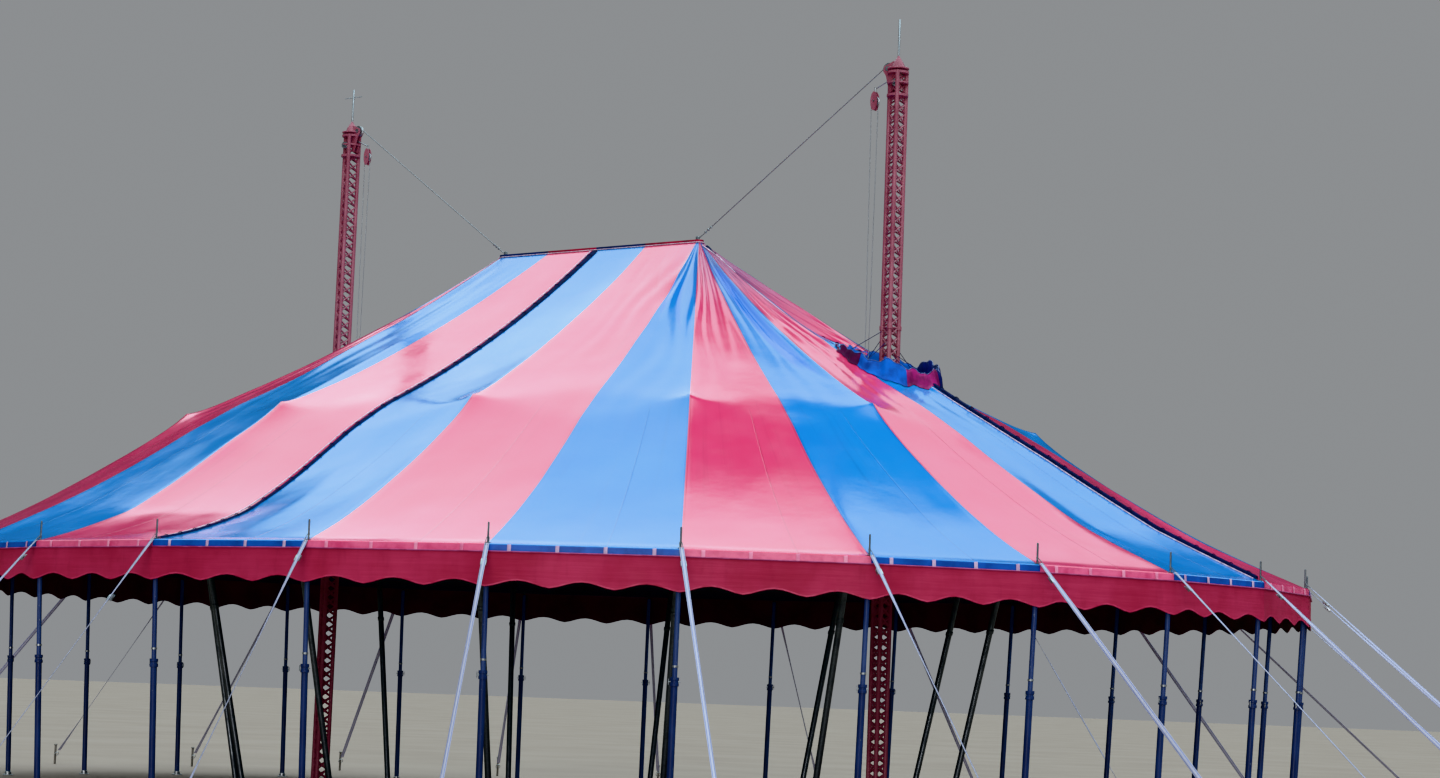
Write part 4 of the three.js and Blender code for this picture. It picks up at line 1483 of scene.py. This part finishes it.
def collar_ring(angle, side, surface):
    """The points of a collar at one angle: up inside the hole, over the lip, and out on the canopy."""
    turned = angle if side > 0 else math.pi - angle
    gather = waves(turned, COLLAR_GATHERS)
    crest = max(0.0, math.cos(turned - math.radians(COLLAR_CREST_ANGLE))) ** 6
    lip = waves(turned, COLLAR_LIP) + COLLAR_CREST_HEIGHT * crest
    wide = max(0.0, math.cos(turned - math.radians(COLLAR_SKIRT_ANGLE)))
    reach = COLLAR_SKIRT_LEAST + wide * (COLLAR_SKIRT_MORE + waves(turned, COLLAR_SKIRT))
    middle = Vector((MAST_PLACE * side, 0, COLLAR_MIDDLE))
    ring = []
    for out, height, lip_share, gather_share in COLLAR_SECTION:
        spot = around(angle, COLLAR_RADIUS + out + COLLAR_GATHER_DEPTH * gather * gather_share)
        ring.append(middle + spot + upward(height + lip * lip_share - side * COLLAR_SLOPE * spot.x))
    edge = ring[-1].z
    for share in COLLAR_SKIRT_SHARES:
        radius = COLLAR_RADIUS + COLLAR_SECTION[-1][0] + reach * share + COLLAR_GATHER_DEPTH * gather
        spot = middle + around(angle, radius)
        hit = surface.ray_cast(Vector((spot.x, spot.y, MAST_HEIGHT)), upward(-1))[0]
        rest = hit.z + 0.009 + 0.02 * (1 - share) * abs(gather)
        spot.z = max(mixed(edge, rest, min(1.0, share * 1.5)), rest)
        ring.append(spot)
    return ring


def collar(side, word, surface):
    """The gathered sleeve of canvas round a mast: it rises inside the hole, and folds over on the canopy."""
    shape = Shape()
    angles = ring_angles(COLLAR_STEPS, 0.5)
    rings = [collar_ring(angle, side, surface) for angle in angles]
    for step in range(COLLAR_STEPS):
        # The navy and maroon stretches of the gathered canvas are painted shade
        finish = collar_finish(2 * math.pi * (step + 1) / COLLAR_STEPS, side)
        shape.net([rings[step], rings[(step + 1) % COLLAR_STEPS]], finish, closed=False, caps=False)
    made = piece("collar_gather_" + word, shape, ["mast_collar_" + word], CLOTH_EDGE)
    reworked(made.data, lambda body: bmesh.ops.remove_doubles(body, verts=body.verts, dist=0.0002))
    trim = Shape()
    # A thin pale tube along the top of the lip, which is a painted highlight, and the blue hoop lower down
    for row, radius, out, finish in ((4, 0.004, 0.0, "flap_pale"), (1, 0.018, -0.03, "pole")):
        path = [ring[row] + around(angle, out, 0.005) for ring, angle in zip(rings, angles)]
        trim.tube(path, radius, 8, finish, closed=True)
    for hanger, angle in enumerate(ring_angles(HANGERS, 0.5)):
        low = rings[int(COLLAR_STEPS * (hanger + 0.5) / HANGERS)][1]
        high = Vector((MAST_PLACE * side, 0, low.z + HANGER_RISE)) + around(angle, 0.1)
        trim.tube([low + upward(0.02), high], 0.004, 6, "flap_navy")
    piece("collar_hoop_" + word, trim, ["mast_collar_" + word])


# The ridge


def ridge_outline(radius):
    """The outline of the ridge beam, as a closed run of plan points, with more of them on its long sides."""
    edge = [seam_top(seam, radius).to_2d() for seam in range(2, QUARTER_SEAMS + 1)]
    half = edge + [Vector((p.x, -p.y)) for p in reversed(edge[:-1])]
    outline = half + [-p for p in half]
    spots = []
    for point, following in zip(outline, outline[1:] + outline[:1]):
        spots.append(point)
        if (following - point).length > 1.0:
            spots += [point.lerp(following, step / 8) for step in range(1, 8)]
    return spots


def ridge_beam():
    """The striped band of the ridge, with a lug at each end for its cable, and the rope round its canvas."""
    shape = Shape()
    spots = ridge_outline(RIDGE_RADIUS - SEAM_GAP)
    for point, following in zip(spots, spots[1:] + spots[:1]):
        centre = (point + following) / 2
        bay = int(abs(centre.x) / (RIDGE_HALF_LENGTH / 2))
        blue = bay_is_blue("front_right" if centre.x > 0 else "front_left", min(bay, 1))
        rings = []
        for scale, level in RIDGE_SECTION:
            rings.append([Vector((p.x, p.y * scale, level)) for p in (point, following)])
        shape.net(rings, "ridge_blue" if blue else "ridge_red", closed=False, caps=False)
    order = list(range(len(spots)))
    for (scale, level), way in ((RIDGE_SECTION[-1], 1), (RIDGE_SECTION[0], -1)):
        shape.add([Vector((p.x, p.y * scale, level)) for p in spots], [order[::way]], "ridge_blue")
    for side in (-1, 1):
        place = side * (RIDGE_HALF_LENGTH - RIDGE_LUG[0] / 2)
        shape.block((place, 0, RIDGE_TOP + 0.015), RIDGE_LUG, "steel")
    rope = [(point.x * 1.004, point.y * 1.1, RIDGE_HEIGHT + 0.006) for point in spots]
    shape.tube(rope, RIDGE_ROPE_RADIUS, 8, "rope", closed=True)
    piece("ridge_band", shape, ["ridge_beam"])


def ridge_cable(side, word):
    """A wire rope from a lug of the ridge up to the sheave of a mast, with its clips."""
    low = Vector((RIDGE_HALF_LENGTH + CABLE_GAP, 0, RIDGE_TOP + 0.035))
    high = Vector((MAST_PLACE - SHEAVE_REACH - SHEAVE_RADIUS - CABLE_GAP, 0, MAST_HEIGHT))
    rough = (high - low).normalized()
    above = Vector((-rough.z, 0, rough.x)) * CABLE_RADIUS
    low -= above
    high += above
    shape = Shape()
    path = [flipped(low.lerp(high, step / 40), side, 1) for step in range(41)]
    shape.tube(path, STRAND_RADIUS, 10, "cable")
    along = (high - low).normalized()
    turn = Matrix(((along.x * side, 0, along.z), (0, 1, 0), (-along.z * side, 0, along.x))).transposed()
    for offset in CABLE_CLIPS:
        shape.block(flipped(low + along * offset, side, 1), (0.018, 0.03, 0.026), "steel", turn, 0.003)
    piece("ridge_wire_" + word, shape, ["ridge_cable_" + word])


# The stage


def floor():
    """A wide round floor, just under the feet of the poles."""
    points = [Vector((0, 0, 0))]
    points += [around(angle, radius) for radius in FLOOR_RADII for angle in ring_angles(FLOOR_SIDES)]
    faces = []
    for side in range(FLOOR_SIDES):
        first, after = 1 + side, 1 + (side + 1) % FLOOR_SIDES
        faces.append([0, first, after])
        for start in (0, FLOOR_SIDES):
            outer = start + FLOOR_SIDES
            faces.append([start + first, outer + first, outer + after, start + after])
    mesh = bpy.data.meshes.new("floor")
    mesh.from_pydata(points, [], faces)
    finish = Finish("floor_pale", (146, 130, 120), roughness=1.0, gloss=0.05)
    finish.tint(finish.patches(finish.place(), (0.35, 4.0, 0.6), 0.3, 0.7), (153, 137, 127))
    mesh.materials.append(finish.material)
    made = bpy.data.objects.new("floor", mesh)
    made.location = (0, 0, -0.001)
    bpy.context.scene.collection.objects.link(made)


def sky():
    """A soft studio dome: a bright ceiling over a dim rim, with a plain mid grey backdrop for the camera."""
    world = bpy.data.worlds.new("studio_dome")
    bpy.context.scene.world = world
    world.use_nodes = True
    dome = Nodes(world.node_tree)
    direction = dome.node("TexCoord").outputs["Generated"]
    along = dome.split(direction)
    azimuth = dome.times(dome.maths("ARCTAN2", along["Y"], along["X"]), math.degrees(1))
    elevation = dome.times(dome.maths("ARCSINE", along["Z"]), math.degrees(1))
    opening = dome.times(dome.span(azimuth, *RIM_GAP[:2]), dome.span(azimuth, *RIM_GAP[2:], 1.0, 0.0))
    above = dome.plus(elevation, dome.times(opening, RIM_GAP_DEPTH))
    ceiling = dome.span(above, RIM_HEIGHT, RIM_HEIGHT + RIM_SOFTNESS)
    bright = dome.plus(dome.times(ceiling, CEILING_BRIGHTNESS - RIM_BRIGHTNESS), RIM_BRIGHTNESS)
    for flag_azimuth, flag_elevation, inner, outer, kept in FLAGS:
        up = math.radians(flag_elevation)
        aim = around(math.radians(flag_azimuth), math.cos(up), math.sin(up))
        product = dome.node("VectorMath", {"operation": "DOT_PRODUCT"})
        dome.set(product, 0, direction)
        dome.set(product, 1, aim)
        edges = (math.cos(math.radians(outer)), math.cos(math.radians(inner)))
        bright = dome.times(bright, dome.span(product.outputs["Value"], *edges, 1.0, kept))
    lit = dome.node("Background", Color=CEILING_TINT, Strength=bright)
    plain = dome.tree.nodes["Background"]
    dome.set(plain, "Color", BACKDROP)
    mixer = dome.node("MixShader")
    seen = dome.node("LightPath").outputs["Is Camera Ray"]
    for socket, value in enumerate((seen, lit.outputs[0], plain.outputs[0])):
        dome.set(mixer, socket, value)
    dome.set(dome.tree.nodes["World Output"], "Surface", mixer.outputs[0])


def lamp():
    """A broad soft light from the camera's side, low down."""
    light = bpy.data.lights.new("soft_light", "SUN")
    light.angle = math.radians(LAMP_WIDTH)
    light.energy = LAMP_BRIGHTNESS
    made = bpy.data.objects.new("soft_light", light)
    made.location = LAMP_PLACE
    made.rotation_mode = "QUATERNION"
    made.rotation_quaternion = (LAMP_TARGET - LAMP_PLACE).to_track_quat("-Z", "Y")
    bpy.context.scene.collection.objects.link(made)


def camera():
    yaw, pitch, roll = (math.radians(a) for a in (CAMERA_YAW, CAMERA_PITCH, CAMERA_ROLL))
    forward = Vector((-math.sin(yaw) * math.cos(pitch), math.cos(yaw) * math.cos(pitch), math.sin(pitch)))
    level = Vector((math.cos(yaw), math.sin(yaw), 0))
    upright = level.cross(forward)
    right = level * math.cos(roll) + upright * math.sin(roll)
    up = upright * math.cos(roll) - level * math.sin(roll)
    lens = bpy.data.cameras.new("photo_camera")
    lens.sensor_fit = "HORIZONTAL"
    lens.sensor_width = SENSOR_WIDTH
    lens.lens = SENSOR_WIDTH * FOCAL_PIXELS / PHOTO_WIDTH
    lens.clip_end = CAMERA_REACH
    made = bpy.data.objects.new("photo_camera", lens)
    turn = Matrix((right, up, -forward)).transposed().to_4x4()
    made.matrix_world = Matrix.Translation(CAMERA_PLACE) @ turn
    bpy.context.scene.collection.objects.link(made)
    bpy.context.scene.camera = made


def build():
    camera()
    for quarter in QUARTERS:
        canvas_quarter(quarter)
        valance_quarter(quarter)
        eave_trim(quarter)
    surface = canvas_surface()
    for word, y in (("front", 1), ("back", -1)):
        both = ["canvas_" + word + "_right", "canvas_" + word + "_left"]
        lacing("lacing_" + word, 1, y, 0, 0.004, 0.995, both)
    for word, side in ENDS:
        both = ["canvas_front_" + word, "canvas_back_" + word]
        lacing("lacing_upper_" + word, side, 1, QUARTER_SEAMS, 0.01, 0.285, both)
        lacing("lacing_lower_" + word, side, 1, QUARTER_SEAMS, 0.452, 0.995, both)
        mast(side, word)
        collar(side, word, surface)
        ridge_cable(side, word)
    ridge_beam()
    for seam in range(SEAMS):
        side_pole(seam)
        guy(seam)
    for seam in QUARTER_POLE_SEAMS:
        quarter_pole(seam)
    floor()
    sky()
    lamp()


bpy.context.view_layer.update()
build()
bpy.context.scene.view_settings.view_transform = "Khronos PBR Neutral"
bpy.context.view_layer.update()
